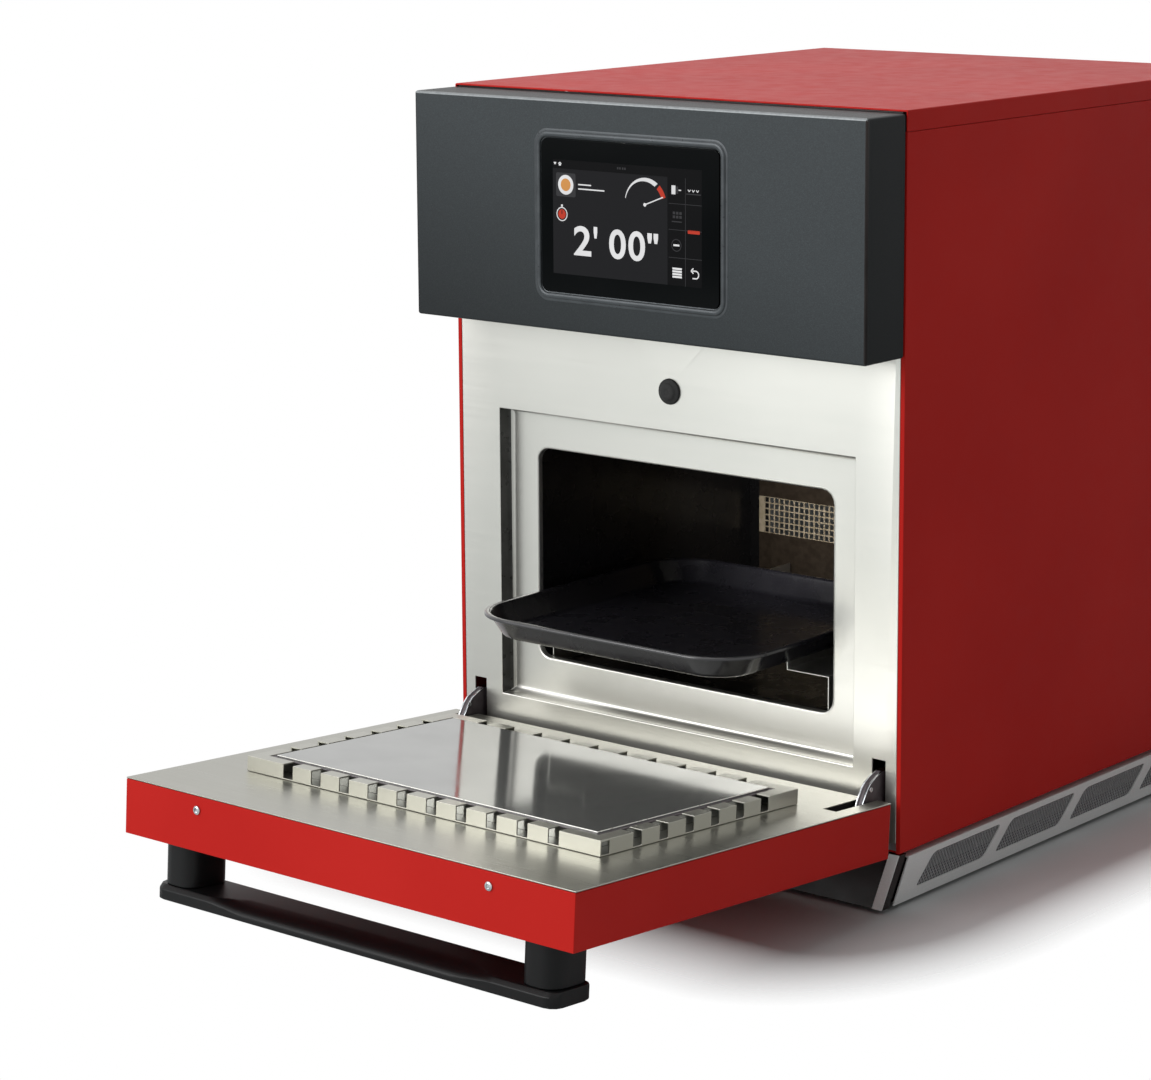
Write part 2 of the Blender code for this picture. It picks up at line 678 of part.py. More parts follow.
def chamber():
    """The box that food cooks in, open at the front, with its feed, fan and probe openings."""
    x, z = (-CHAMBER_HALF, CHAMBER_HALF), (CHAMBER_LOW, CHAMBER_HIGH)
    y = (CHAMBER_FRONT, CHAMBER_BACK)
    wall = CHAMBER_SHEET
    obj = box(inset(x, -wall), (y[0], y[1] + wall), inset(z, -wall))
    place(obj, "chamber", OVEN, "black_enamel")
    intake_z = centred(INTAKE_HEIGHT, CHAMBER_MID)
    cut(
        obj,
        box(x, (y[0] - OVERRUN, y[1]), z),
        box((-FEED_HALF, FEED_HALF), centred(2 * FEED_HALF, FEED_MIDDLE), (z[1] - OVERRUN, z[1] + OVERRUN)),
        box((-INTAKE_HALF, INTAKE_HALF), (y[1] - OVERRUN, y[1] + OVERRUN), intake_z),
        cylinder(PROBE_RADIUS + CLEARANCE, (x[1] - OVERRUN, x[1] + OVERRUN), (PROBE_Y, PROBE_Z), "x", 12),
    )


def insulation():
    """Mineral wool round the four long walls of the chamber."""
    near = CHAMBER_SHEET + CLEARANCE
    x, z = (-CHAMBER_HALF, CHAMBER_HALF), (CHAMBER_LOW, CHAMBER_HIGH)
    y = (CHAMBER_FRONT, CHAMBER_BACK)
    obj = box(inset(x, -near - INSULATION), y, inset(z, -near - INSULATION))
    place(obj, "insulation", OVEN, "glass_wool")
    guide = WAVEGUIDE_WALL + CLEARANCE
    cut(
        obj,
        box(inset(x, -near), inset(y, -OVERRUN), inset(z, -near)),
        box(
            inset((-WAVEGUIDE_HALF, WAVEGUIDE_HALF), -guide),
            inset(centred(WAVEGUIDE_DEPTH, FEED_MIDDLE), -guide),
            (CHAMBER_HIGH, CHAMBER_HIGH + near + INSULATION + OVERRUN),
        ),
        cylinder(
            PROBE_RADIUS + CLEARANCE, (x[1], x[1] + near + INSULATION + OVERRUN),
            (PROBE_Y, PROBE_Z), "x", 12,
        ),
    )


def fan_guard():
    """The plate over the fan at the back of the chamber, with a band of square holes."""
    y = (CHAMBER_BACK - CLEARANCE - GUARD_SHEET, CHAMBER_BACK - CLEARANCE)
    obj = box((-GUARD_HALF, GUARD_HALF), y, (CHAMBER_LOW + GUARD_LOW_RISE, CHAMBER_LOW + GUARD_HIGH_RISE))
    place(obj, "fan_guard", OVEN, "black_enamel")
    holes = []
    for column in range(GUARD_COLUMNS):
        middle_x = (column - (GUARD_COLUMNS - 1) / 2) * GUARD_PITCH
        for row in range(GUARD_ROWS):
            middle_z = CHAMBER_LOW + CHAMBER_HEIGHT * GUARD_ROW_SHARE + row * GUARD_PITCH
            hole_x, hole_z = centred(GUARD_HOLE, middle_x), centred(GUARD_HOLE, middle_z)
            holes.append((hole_x, inset(y, -OVERRUN), hole_z))
    cut(obj, boxes(holes))


def rack_support(name, side):
    """A bright folded rail on the chamber floor, with the upturned edge that the tray slides on."""
    floor = CHAMBER_LOW + CLEARANCE + SHEET
    step = CHAMBER_LOW + RACK_STEP_RISE
    leg, rail = RACK_LEG, RACK_LEG - RACK_SHELF
    profile = [
        (side * rail, CHAMBER_LOW + RACK_TOP_RISE), (side * rail, step), (side * leg, step),
        (side * leg, floor), (side * (leg + RACK_FOOT), floor),
    ]
    if side < 0:
        profile.reverse()
    start = CHAMBER_FRONT + RACK_FRONT
    obj = bent_sheet(profile, (start, start + RACK_LENGTH), SHEET)
    place(obj, name, OVEN, "brushed_steel")


def temperature_probe():
    outside = CHAMBER_HALF + CHAMBER_SHEET + CLEARANCE + INSULATION + CLEARANCE
    profile = [
        (0, outside + PROBE_FLANGE), (PROBE_FLANGE / 2, outside + PROBE_FLANGE),
        (PROBE_FLANGE / 2, outside + PROBE_RADIUS), (PROBE_FLANGE, outside + PROBE_RADIUS),
        (PROBE_FLANGE, outside), (PROBE_RADIUS, outside),
        (PROBE_RADIUS, CHAMBER_HALF - PROBE_REACH), (0, CHAMBER_HALF - PROBE_REACH),
    ]
    obj = turned(profile, "right", (0, PROBE_Y, PROBE_Z), 12)
    smooth(place(obj, "temperature_probe", OVEN, "brushed_steel"))


# Hot air behind the chamber.
HOUSING_SIDE_GAP = 0.018
HOUSING_HALF = CHAMBER_HALF - HOUSING_SIDE_GAP
HOUSING_MARGIN = 0.0105
HOUSING_HEIGHT = CHAMBER_HEIGHT - 2 * HOUSING_MARGIN
HOUSING_DEPTH = 0.060
HEATER_MARGIN = 0.007
HEATER_RADIUS = HOUSING_HEIGHT / 2 - HEATER_MARGIN
HEATER_GAP = 0.013
FAN_RADIUS = HEATER_RADIUS - HEATER_GAP
FAN_DEPTH = 0.026
FAN_BLADES = 10
FAN_HUB_RADIUS = 0.014
FAN_SHAFT_RADIUS = 0.004
FAN_SHAFT_LENGTH = 0.034
HEATER_TUBE = 0.0035
HEATER_LEG_SHARE = 0.385
HEATER_LEG = HEATER_RADIUS * HEATER_LEG_SHARE
HEATER_BLOCK = 0.007
MOTOR_RADIUS = 0.036
MOTOR_LENGTH = 0.060
BOSS_RADIUS = 0.014
BOSS_LENGTH = 0.012
HOUSING_FRONT = CHAMBER_BACK + CHAMBER_SHEET + CLEARANCE
HOUSING_BACK = HOUSING_FRONT + HOUSING_DEPTH
HEATER_LEG_Z = CHAMBER_MID - math.sqrt(HEATER_RADIUS**2 - HEATER_LEG**2)
FAN_MIDDLE = (HOUSING_FRONT + HOUSING_BACK) / 2


def hot_air_housing():
    """The pan behind the chamber that holds the fan and the heating ring."""
    x, z = (-HOUSING_HALF, HOUSING_HALF), centred(HOUSING_HEIGHT, CHAMBER_MID)
    obj = box(x, (HOUSING_FRONT, HOUSING_BACK), z)
    place(obj, "hot_air_housing", OVEN, "galvanised_steel")
    through = (HOUSING_BACK - OVERRUN, HOUSING_BACK + OVERRUN)
    cut(
        obj,
        box(inset(x, SHEET), (HOUSING_FRONT - OVERRUN, HOUSING_BACK - SHEET), inset(z, SHEET)),
        cylinder(FAN_SHAFT_RADIUS + SHEET, through, (0, CHAMBER_MID), "y"),
        *[
            cylinder(HEATER_BLOCK + CLEARANCE, through, (side * HEATER_LEG, HEATER_LEG_Z), "y")
            for side in (-1, 1)
        ],
        box(centred(DUCT_WIDTH - 2 * SHEET, DUCT_X), through, centred(DUCT_HEIGHT - 2 * SHEET, DUCT_Z)),
    )


def convection_fan():
    """The radial fan on its shaft: a back disc, straight blades and a hub."""
    front, back = centred(FAN_DEPTH, FAN_MIDDLE)
    disc = back - SHEET
    obj = cylinder(FAN_RADIUS, (disc, back), (0, CHAMBER_MID), "y", 30)
    place(obj, "convection_fan", OVEN, "galvanised_steel")
    hub = cylinder(FAN_HUB_RADIUS, (front + SHEET, back + SHEET), (0, CHAMBER_MID), "y")
    shaft = cylinder(FAN_SHAFT_RADIUS, (disc, back + FAN_SHAFT_LENGTH), (0, CHAMBER_MID), "y")
    join(obj, hub, shaft)
    for number in range(FAN_BLADES):
        reach = (FAN_HUB_RADIUS - SHEET, FAN_RADIUS - SHEET)
        blade = box(reach, (front, disc + SHEET / 2), centred(SHEET))
        turn = Matrix.Rotation(2 * math.pi * number / FAN_BLADES, 4, "Y")
        blade.data.transform(Matrix.Translation((0, 0, CHAMBER_MID)) @ turn)
        join(obj, blade)


def heating_element():
    """A ring of sheathed heater whose two ends leave through the back of the housing."""
    leg_angle = math.degrees(math.atan2(HEATER_LEG_Z - CHAMBER_MID, HEATER_LEG))
    ring = arc((0, CHAMBER_MID), HEATER_RADIUS, leg_angle, 360 - 180 - leg_angle, 26)
    back = HOUSING_BACK - HEATER_BLOCK / 2
    points = [(x, FAN_MIDDLE, z) for x, z in ring]
    first, last = points[0], points[-1]
    bend = HEATER_TUBE * 2
    points = [(first[0], back, first[2]), (first[0], FAN_MIDDLE + bend, first[2])] + points
    points += [(last[0], FAN_MIDDLE + bend, last[2]), (last[0], back, last[2])]
    obj = place(tube(points, HEATER_TUBE), "heating_element", OVEN, "brushed_steel")
    for x, _, z in (first, last):
        block = (back - HEATER_TUBE, HOUSING_BACK + HEATER_BLOCK)
        join(obj, cylinder(HEATER_BLOCK, block, (x, z), "y", 16))
    smooth(obj, 50)


def fan_motor():
    """The fan's motor behind the housing, with a bore that takes the shaft."""
    start = HOUSING_BACK + CLEARANCE
    bore = FAN_SHAFT_RADIUS + CLEARANCE
    depth = FAN_MIDDLE + FAN_DEPTH / 2 + FAN_SHAFT_LENGTH + CLEARANCE
    collar = start + BOSS_LENGTH
    profile = [
        (0, start + MOTOR_LENGTH), (MOTOR_RADIUS, start + MOTOR_LENGTH), (MOTOR_RADIUS, collar),
        (BOSS_RADIUS, collar), (BOSS_RADIUS, start), (bore, start), (bore, depth), (0, depth),
    ]
    obj = turned([(r, h) for r, h in profile], "back", (0, 0, CHAMBER_MID), 28)
    smooth(place(obj, "fan_motor", OVEN, "black_enamel"))


# Microwave feed above the chamber.
WAVEGUIDE_HALF = 0.125
WAVEGUIDE_DEPTH = 0.090
WAVEGUIDE_HEIGHT = 0.044
WAVEGUIDE_WALL = 0.0015
ANTENNA_RADIUS = 0.008
ANTENNA_LENGTH = 0.028
MAGNETRON_X = 0.080
MAGNETRON_WIDTH = 0.082
MAGNETRON_DEPTH = 0.080
MAGNETRON_PLATE = 0.004
MAGNETRON_FIN = 0.003
MAGNETRON_FINS = 6
MAGNETRON_FIN_PITCH = 0.010
MAGNETRON_CORE = 0.019
FILTER_HEIGHT = 0.030
FILTER_WIDTH = 0.052
STIRRER_RADIUS = 0.034
STIRRER_SHAFT = 0.003
STIRRER_BLADES = 3
STIRRER_BLADE = 0.016
STIRRER_HUB = 0.008
STIRRER_MOTOR_RADIUS = 0.024
STIRRER_MOTOR_HEIGHT = 0.022
STIRRER_DROP = 0.014
COVER_SIZE = 0.118
COVER_THICKNESS = 0.003
SHELF_LIFT = 0.0085
SHELF_FRONT = 0.030
SHELF_FLANGE = 0.020
SHELF_REAR_GAP = 0.0895
SHELF_BACK = BODY_DEPTH - SHELF_REAR_GAP
WAVEGUIDE_LOW = CHAMBER_HIGH + CHAMBER_SHEET + CLEARANCE
WAVEGUIDE_TOP = WAVEGUIDE_LOW + WAVEGUIDE_HEIGHT + WAVEGUIDE_WALL
SHELF_Z = WAVEGUIDE_TOP + SHELF_LIFT


def waveguide():
    """The duct that brings the microwaves of both magnetrons to the feed in the ceiling."""
    x, y = (-WAVEGUIDE_HALF, WAVEGUIDE_HALF), centred(WAVEGUIDE_DEPTH, FEED_MIDDLE)
    wall = WAVEGUIDE_WALL
    obj = box(inset(x, -wall), inset(y, -wall), (WAVEGUIDE_LOW, WAVEGUIDE_TOP))
    place(obj, "waveguide", OVEN, "aluminium")
    through = (WAVEGUIDE_TOP - OVERRUN, WAVEGUIDE_TOP + OVERRUN)
    cut(
        obj,
        box(x, y, (WAVEGUIDE_LOW - OVERRUN, WAVEGUIDE_TOP - wall)),
        cylinder(STIRRER_SHAFT + CLEARANCE, through, (0, FEED_MIDDLE), "z", 16),
        *[
            cylinder(ANTENNA_RADIUS + CLEARANCE, through, (side * MAGNETRON_X, FEED_MIDDLE), "z", 20)
            for side in (-1, 1)
        ],
    )


def magnetron(name, side):
    """A magnetron: its antenna, mounting plate, cooling fins round the core, and filter box."""
    x, y = side * MAGNETRON_X, FEED_MIDDLE
    base = WAVEGUIDE_TOP + CLEARANCE
    plan_x, plan_y = centred(MAGNETRON_WIDTH, x), centred(MAGNETRON_DEPTH, y)
    obj = box(plan_x, plan_y, (base, base + MAGNETRON_PLATE))
    place(obj, name, OVEN, "aluminium")
    fins_top = base + MAGNETRON_PLATE + MAGNETRON_FINS * MAGNETRON_FIN_PITCH
    core = cylinder(MAGNETRON_CORE, (base + MAGNETRON_PLATE / 2, fins_top + MAGNETRON_PLATE), (x, y))
    antenna_z = (base - ANTENNA_LENGTH, base + MAGNETRON_PLATE / 2)
    join(obj, cylinder(ANTENNA_RADIUS, antenna_z, (x, y), "z", 20), core)
    fins = []
    for number in range(1, MAGNETRON_FINS + 1):
        level = base + MAGNETRON_PLATE + number * MAGNETRON_FIN_PITCH
        fin_z = (level - MAGNETRON_FIN, level)
        fins.append((inset(plan_x, MAGNETRON_FIN), inset(plan_y, MAGNETRON_FIN), fin_z))
    join(obj, boxes(fins))
    filter_y = centred(MAGNETRON_DEPTH - MAGNETRON_FIN, y)
    filter_z = (fins_top - MAGNETRON_FIN / 2, fins_top + FILTER_HEIGHT)
    join(obj, box(centred(FILTER_WIDTH, x), filter_y, filter_z))


def mode_stirrer():
    """Three tilted blades on a shaft, which spread the microwaves over the feed."""
    middle = WAVEGUIDE_LOW + STIRRER_DROP
    top = WAVEGUIDE_TOP + STIRRER_MOTOR_HEIGHT / 2
    obj = cylinder(STIRRER_SHAFT, (middle, top), (0, FEED_MIDDLE), "z", 16)
    place(obj, "mode_stirrer", OVEN, "aluminium")
    join(obj, cylinder(STIRRER_HUB, centred(STIRRER_HUB, middle), (0, FEED_MIDDLE), "z", 16))
    for number in range(STIRRER_BLADES):
        blade = box((STIRRER_HUB - SHEET, STIRRER_RADIUS), centred(STIRRER_BLADE), centred(SHEET))
        tilt = Matrix.Rotation(math.radians(18), 4, "X")
        turn = Matrix.Rotation(2 * math.pi * number / STIRRER_BLADES, 4, "Z")
        blade.data.transform(Matrix.Translation((0, FEED_MIDDLE, middle)) @ turn @ tilt)
        join(obj, blade)


def stirrer_motor():
    base = WAVEGUIDE_TOP + CLEARANCE
    bore = STIRRER_SHAFT + CLEARANCE
    blind = WAVEGUIDE_TOP + STIRRER_MOTOR_HEIGHT / 2 + CLEARANCE
    top = base + STIRRER_MOTOR_HEIGHT
    profile = [
        (0, top), (STIRRER_MOTOR_RADIUS, top), (STIRRER_MOTOR_RADIUS, base),
        (bore, base), (bore, blind), (0, blind),
    ]
    obj = turned(profile, "up", (0, FEED_MIDDLE, 0), 24)
    smooth(place(obj, "stirrer_motor", OVEN, "galvanised_steel"))


def stirrer_cover():
    top = CHAMBER_HIGH - CLEARANCE
    size = centred(COVER_SIZE, FEED_MIDDLE)
    outline = rounded(centred(COVER_SIZE), size, OPENING_RADIUS, 2)
    obj = plate([outline], (top - COVER_THICKNESS, top), "z")
    place(obj, "stirrer_cover", OVEN, "ceramic")


def component_shelf():
    """The shelf over the chamber that carries the electronics, open round the magnetrons."""
    half = PANEL_INSIDE - CLEARANCE
    top = SHELF_Z
    profile = [(-half, top - SHELF_FLANGE), (-half, top), (half, top), (half, top - SHELF_FLANGE)]
    obj = bent_sheet(profile, (SHELF_FRONT, SHELF_BACK), SHEET)
    place(obj, "component_shelf", OVEN, "galvanised_steel")
    window = inset((-WAVEGUIDE_HALF, WAVEGUIDE_HALF), -WAVEGUIDE_WALL - CLEARANCE)
    depth = inset(centred(WAVEGUIDE_DEPTH, FEED_MIDDLE), -WAVEGUIDE_WALL - CLEARANCE)
    cut(obj, box(window, depth, (top - SHEET - OVERRUN, top + OVERRUN)))


# Electronics, cooling fan, and what shows at the back.
INVERTER_WIDTH = 0.150
INVERTER_DEPTH = 0.070
INVERTER_HEIGHT = 0.060
INVERTER_SIDE = 0.1135
INVERTER_X = INVERTER_SIDE - PANEL_INSIDE
INVERTER_SETBACK = 0.130
INVERTER_FRONT = SHELF_BACK - INVERTER_SETBACK
INVERTER_FINS = 7
INVERTER_FIN = 0.002
COOLING_FAN_SIDE = 0.1135
COOLING_FAN_X = PANEL_INSIDE - COOLING_FAN_SIDE
COOLING_FAN_DROP = 0.1233
COOLING_FAN_RISE = BODY_HEIGHT - COOLING_FAN_DROP
COOLING_FAN_SIZE = 0.120
COOLING_FAN_DEPTH = 0.032
COOLING_FAN_BORE = 0.056
COOLING_BLADES = 7
COOLING_HUB = 0.020
COOLING_STRUT = 0.005
GLAND_SIDE = 0.0735
GLAND_X = GLAND_SIDE - PANEL_INSIDE
GLAND_RISE = 0.060
GLAND_RADIUS = 0.0115
GLAND_NUT = 0.0155
GLAND_NUT_HEIGHT = 0.009
GLAND_CABLE = 0.0055
GLAND_LENGTH = 0.030
DUCT_SIDE = 0.041
DUCT_X = HOUSING_HALF - DUCT_SIDE
DUCT_WIDTH = 0.060
DUCT_HEIGHT = 0.030
DUCT_DROP = 0.030
DUCT_COLLAR = 0.008
DUCT_Z = CHAMBER_MID + HOUSING_HEIGHT / 2 - DUCT_DROP


def inverter():
    """The power supply of the magnetrons: a case with cooling fins on top."""
    base = SHELF_Z + CLEARANCE
    x, y = centred(INVERTER_WIDTH, INVERTER_X), (INVERTER_FRONT, INVERTER_FRONT + INVERTER_DEPTH)
    deck = base + INVERTER_HEIGHT * 2 / 3
    obj = place(box(x, y, (base, deck)), "inverter", OVEN, "aluminium")
    pitch = INVERTER_WIDTH / INVERTER_FINS
    fins = []
    for number in range(INVERTER_FINS):
        middle = x[0] + pitch * (number + 1 / 2)
        fin_z = (deck - INVERTER_FIN, base + INVERTER_HEIGHT)
        fins.append((centred(INVERTER_FIN, middle), inset(y, INVERTER_FIN), fin_z))
    join(obj, boxes(fins))


def cooling_fan_frame():
    """A square fan frame, with the struts and the hub bearing at its back."""
    back = BODY_DEPTH - SHEET - CLEARANCE
    y = (back - COOLING_FAN_DEPTH, back)
    middle = (COOLING_FAN_X, BODY_BOTTOM + COOLING_FAN_RISE)
    obj = box(centred(COOLING_FAN_SIZE, middle[0]), y, centred(COOLING_FAN_SIZE, middle[1]))
    place(obj, "cooling_fan_frame", OVEN, "black_plastic")
    cut(obj, cylinder(COOLING_FAN_BORE, inset(y, -OVERRUN), middle, "y", 32))
    strut_y = (back - COOLING_STRUT, back)
    reach = 2 * COOLING_FAN_BORE + COOLING_STRUT
    join(
        obj,
        box(centred(reach, middle[0]), strut_y, centred(COOLING_STRUT, middle[1])),
        box(centred(COOLING_STRUT, middle[0]), strut_y, centred(reach, middle[1])),
        cylinder(COOLING_HUB, (back - 2 * COOLING_STRUT, back - COOLING_STRUT / 5), middle, "y"),
    )
    bore = FAN_SHAFT_RADIUS + CLEARANCE
    cut(obj, cylinder(bore, (y[0], back - COOLING_STRUT), middle, "y", 16))


def cooling_fan_rotor():
    back = BODY_DEPTH - SHEET - CLEARANCE
    hub_y = (back - COOLING_FAN_DEPTH + CLEARANCE, back - 2 * COOLING_STRUT - CLEARANCE)
    middle = (COOLING_FAN_X, BODY_BOTTOM + COOLING_FAN_RISE)
    obj = cylinder(COOLING_HUB, hub_y, middle, "y")
    place(obj, "cooling_fan_rotor", OVEN, "black_plastic")
    shaft_end = back - COOLING_STRUT - CLEARANCE
    join(obj, cylinder(FAN_SHAFT_RADIUS, (hub_y[1] - SHEET, shaft_end), middle, "y", 16))
    blade_depth = (hub_y[1] - hub_y[0]) / 2
    for number in range(COOLING_BLADES):
        reach = (COOLING_HUB - SHEET, COOLING_FAN_BORE - 2 * SHEET)
        blade = box(reach, centred(blade_depth), centred(SHEET))
        tilt = Matrix.Rotation(math.radians(45), 4, "X")
        turn = Matrix.Rotation(2 * math.pi * number / COOLING_BLADES, 4, "Y")
        seat = Matrix.Translation((middle[0], sum(hub_y) / 2, middle[1]))
        blade.data.transform(seat @ turn @ tilt)
        join(obj, blade)


def power_inlet():
    """The cable gland at the back, with its two nuts and the bore for a mains lead."""
    inside = BODY_DEPTH - SHEET - CLEARANCE
    outside = BODY_DEPTH + CLEARANCE
    end = BODY_DEPTH + GLAND_REACH
    middle = (GLAND_X, BODY_BOTTOM + GLAND_RISE)
    obj = cylinder(GLAND_RADIUS, (inside - GLAND_LENGTH / 2, outside + GLAND_NUT_HEIGHT), middle, "y")
    place(obj, "power_inlet", OVEN, "black_plastic")
    inner_nut = cylinder(GLAND_NUT, (inside - GLAND_NUT_HEIGHT, inside), middle, "y", 6)
    outer_nut = cylinder(GLAND_NUT, (outside, outside + GLAND_NUT_HEIGHT), middle, "y", 6)
    cap = cylinder(GLAND_NUT - SHEET, (outside + GLAND_NUT_HEIGHT / 2, end), middle, "y", 24, GLAND_RADIUS)
    join(obj, inner_nut, outer_nut, cap)
    cut(obj, cylinder(GLAND_CABLE, (inside - GLAND_LENGTH, end + OVERRUN), middle, "y", 16))


def exhaust_duct():
    """The flat duct that takes steam from the hot air housing out at the back."""
    x, z = centred(DUCT_WIDTH, DUCT_X), centred(DUCT_HEIGHT, DUCT_Z)
    y = (HOUSING_BACK + CLEARANCE, BODY_DEPTH + EXHAUST_REACH)
    obj = place(box(x, y, z), "exhaust_duct", OVEN, "brushed_steel")
    face = BODY_DEPTH + CLEARANCE
    join(obj, box(inset(x, -DUCT_COLLAR), (face, face + SHEET), inset(z, -DUCT_COLLAR)))
    cut(obj, box(inset(x, SHEET), inset(y, -OVERRUN), inset(z, SHEET)))


# Hood and screen.
HOOD_SHEET = 0.0015
HOOD_EDGE = 0.002
SCREEN_WIDTH = 0.181
SCREEN_HEIGHT = 0.1255
SCREEN_RISE = HOOD_RISE + HOOD_HEIGHT / 2
SCREEN_RING = 0.0058
SCREEN_RADIUS = 0.008
RING_PROUD = 0.0016
GLASS_THICKNESS = 0.0022
DISPLAY_WIDTH = 0.166
DISPLAY_HEIGHT = 0.106
DISPLAY_DEPTH = 0.009
BOARD_WIDTH = 0.150
BOARD_HEIGHT = 0.100
BOARD_THICKNESS = 0.0016
BOARD_PARTS = 0.014
BOARD_PART_SHARES = ((-0.30, 0.20, 0.18, 0.72), (0.05, -0.15, 0.25, 1.0), (0.32, 0.25, 0.12, 0.48))
SCREEN_Z = BODY_BOTTOM + SCREEN_RISE
HOOD_FRONT = -HOOD_DEPTH
GLASS_FRONT = HOOD_FRONT - RING_PROUD * 2 / 3


def hood():
    """The dark cover over the controls: a folded pan with a window for the screen."""
    x, z = (-HOOD_WIDTH / 2, HOOD_WIDTH / 2), (HOOD_LOW, HOOD_HIGH)
    back = -CLEARANCE
    obj = place(box(x, (HOOD_FRONT, back), z), "hood", OVEN, "anthracite_paint")
    edges = obj.modifiers.new("edges", "BEVEL")
    edges.width = HOOD_EDGE
    edges.segments = 2
    edges.limit_method = "ANGLE"
    wall = HOOD_SHEET
    hollow = box(inset(x, wall), (HOOD_FRONT + wall, back + OVERRUN), inset(z, wall))
    window = screen_outline(0)
    cut(obj, hollow, plate([window], (HOOD_FRONT - OVERRUN, HOOD_FRONT + OVERRUN), "y"))


def screen_outline(grow):
    """The screen's rounded outline, let out or taken in all round."""
    z = inset(centred(SCREEN_HEIGHT, SCREEN_Z), -grow)
    x = inset(centred(SCREEN_WIDTH), -grow)
    return rounded(z, x, SCREEN_RADIUS + grow, 4)


def bezel():
    """The raised ring round the screen, with a neck that fits the hood's window."""
    face = HOOD_FRONT - CLEARANCE
    outer = plate([screen_outline(SCREEN_RING)], (HOOD_FRONT - RING_PROUD, face), "y")
    obj = place(outer, "bezel", OVEN, "anthracite_paint")
    neck = plate([screen_outline(-CLEARANCE)], (face - RING_PROUD / 2, HOOD_FRONT + HOOD_SHEET), "y")
    join(obj, neck)
    bore = screen_outline(-CLEARANCE - SHEET)
    cut(obj, plate([bore], (HOOD_FRONT - OVERRUN, HOOD_FRONT + OVERRUN), "y"))


def touch_glass():
    outline = screen_outline(-2 * CLEARANCE - SHEET)
    obj = plate([outline], (GLASS_FRONT, GLASS_FRONT + GLASS_THICKNESS), "y")
    place(obj, "touch_glass", OVEN, "black_glass")


def display_module():
    front = GLASS_FRONT + GLASS_THICKNESS + CLEARANCE
    obj = box(centred(DISPLAY_WIDTH), (front, front + DISPLAY_DEPTH), centred(DISPLAY_HEIGHT, SCREEN_Z))
    place(obj, "display_module", OVEN, "galvanised_steel")


def control_board():
    """The circuit board behind the display, with its tallest parts."""
    front = GLASS_FRONT + GLASS_THICKNESS + DISPLAY_DEPTH + 2 * CLEARANCE
    back = front + BOARD_THICKNESS
    obj = box(centred(BOARD_WIDTH), (front, back), centred(BOARD_HEIGHT, SCREEN_Z))
    place(obj, "control_board", OVEN, "circuit_board")
    fitted = []
    for x_share, z_share, size_share, height_share in BOARD_PART_SHARES:
        middle_x, middle_z = x_share * BOARD_WIDTH, SCREEN_Z + z_share * BOARD_HEIGHT
        size = size_share * BOARD_WIDTH
        part_y = (back - BOARD_THICKNESS / 2, back + BOARD_PARTS * height_share)
        fitted.append((centred(size, middle_x), part_y, centred(size, middle_z)))
    join(obj, boxes(fitted))


# Door buffer.
BUFFER_RADIUS = 0.0105
BUFFER_PROUD = 0.0042
BUFFER_CROWN = 0.0055
BUFFER_BARB = 0.0085


def door_buffer():
    """The rubber stop that the door closes on, pushed into its hole in the front plate."""
    stem = BUFFER_HOLE - CLEARANCE
    front, back = CLEARANCE, -FRAME_SHEET - CLEARANCE
    profile = [
        (0, BUFFER_PROUD), (BUFFER_CROWN, BUFFER_PROUD - CLEARANCE),
        (BUFFER_CROWN * 3 / 2, BUFFER_PROUD * 2 / 3),
        (BUFFER_RADIUS - CLEARANCE, BUFFER_PROUD * 2 / 3), (BUFFER_RADIUS, front),
        (stem, front), (stem, back), (BUFFER_BARB, back), (stem - SHEET, back - BUFFER_PROUD),
        (0, back - BUFFER_PROUD),
    ]
    obj = turned(profile, "front", (0, 0, BODY_BOTTOM + BUFFER_RISE), 24)
    smooth(place(obj, "door_buffer", OVEN, "rubber"))


# Cooking tray, partly drawn out.
TRAY_SIDE_GAP = 0.0125
TRAY_OFFSET = -0.011
TRAY_WIDTH = OPENING_WIDTH - 2 * TRAY_SIDE_GAP
TRAY_LENGTH_GAP = 0.016
TRAY_LENGTH = CHAMBER_DEPTH - TRAY_LENGTH_GAP
TRAY_HEIGHT = 0.0205
TRAY_SETBACK = 0.0102
TRAY_DRAWN = 0.1125
TRAY_FRONT = CHAMBER_FRONT + TRAY_SETBACK - TRAY_DRAWN
TRAY_RADIUS = 0.048
TRAY_WALL = 0.0014
TRAY_DRAFT = 0.014
TRAY_RIM = 0.006


def cooking_tray():
    """The enamel pan: drawn walls with round corners and a rim all round."""
    base = CHAMBER_LOW + RACK_TOP_RISE + CLEARANCE
    top = base + TRAY_HEIGHT
    rings = []
    steps = (
        (TRAY_DRAFT + TRAY_RIM, base), (TRAY_RIM, top - TRAY_WALL), (0, top - TRAY_WALL), (0, top),
        (TRAY_RIM + TRAY_WALL, top), (TRAY_DRAFT + TRAY_RIM + TRAY_WALL, base + TRAY_WALL),
    )
    for inward, level in steps:
        x = inset(centred(TRAY_WIDTH, TRAY_OFFSET), inward)
        y = inset((TRAY_FRONT, TRAY_FRONT + TRAY_LENGTH), inward)
        ring = rounded(x, y, TRAY_RADIUS - inward, 5)
        rings.append([(a, b, level) for a, b in ring])
    place(loft(rings), "cooking_tray", OVEN, "black_enamel")


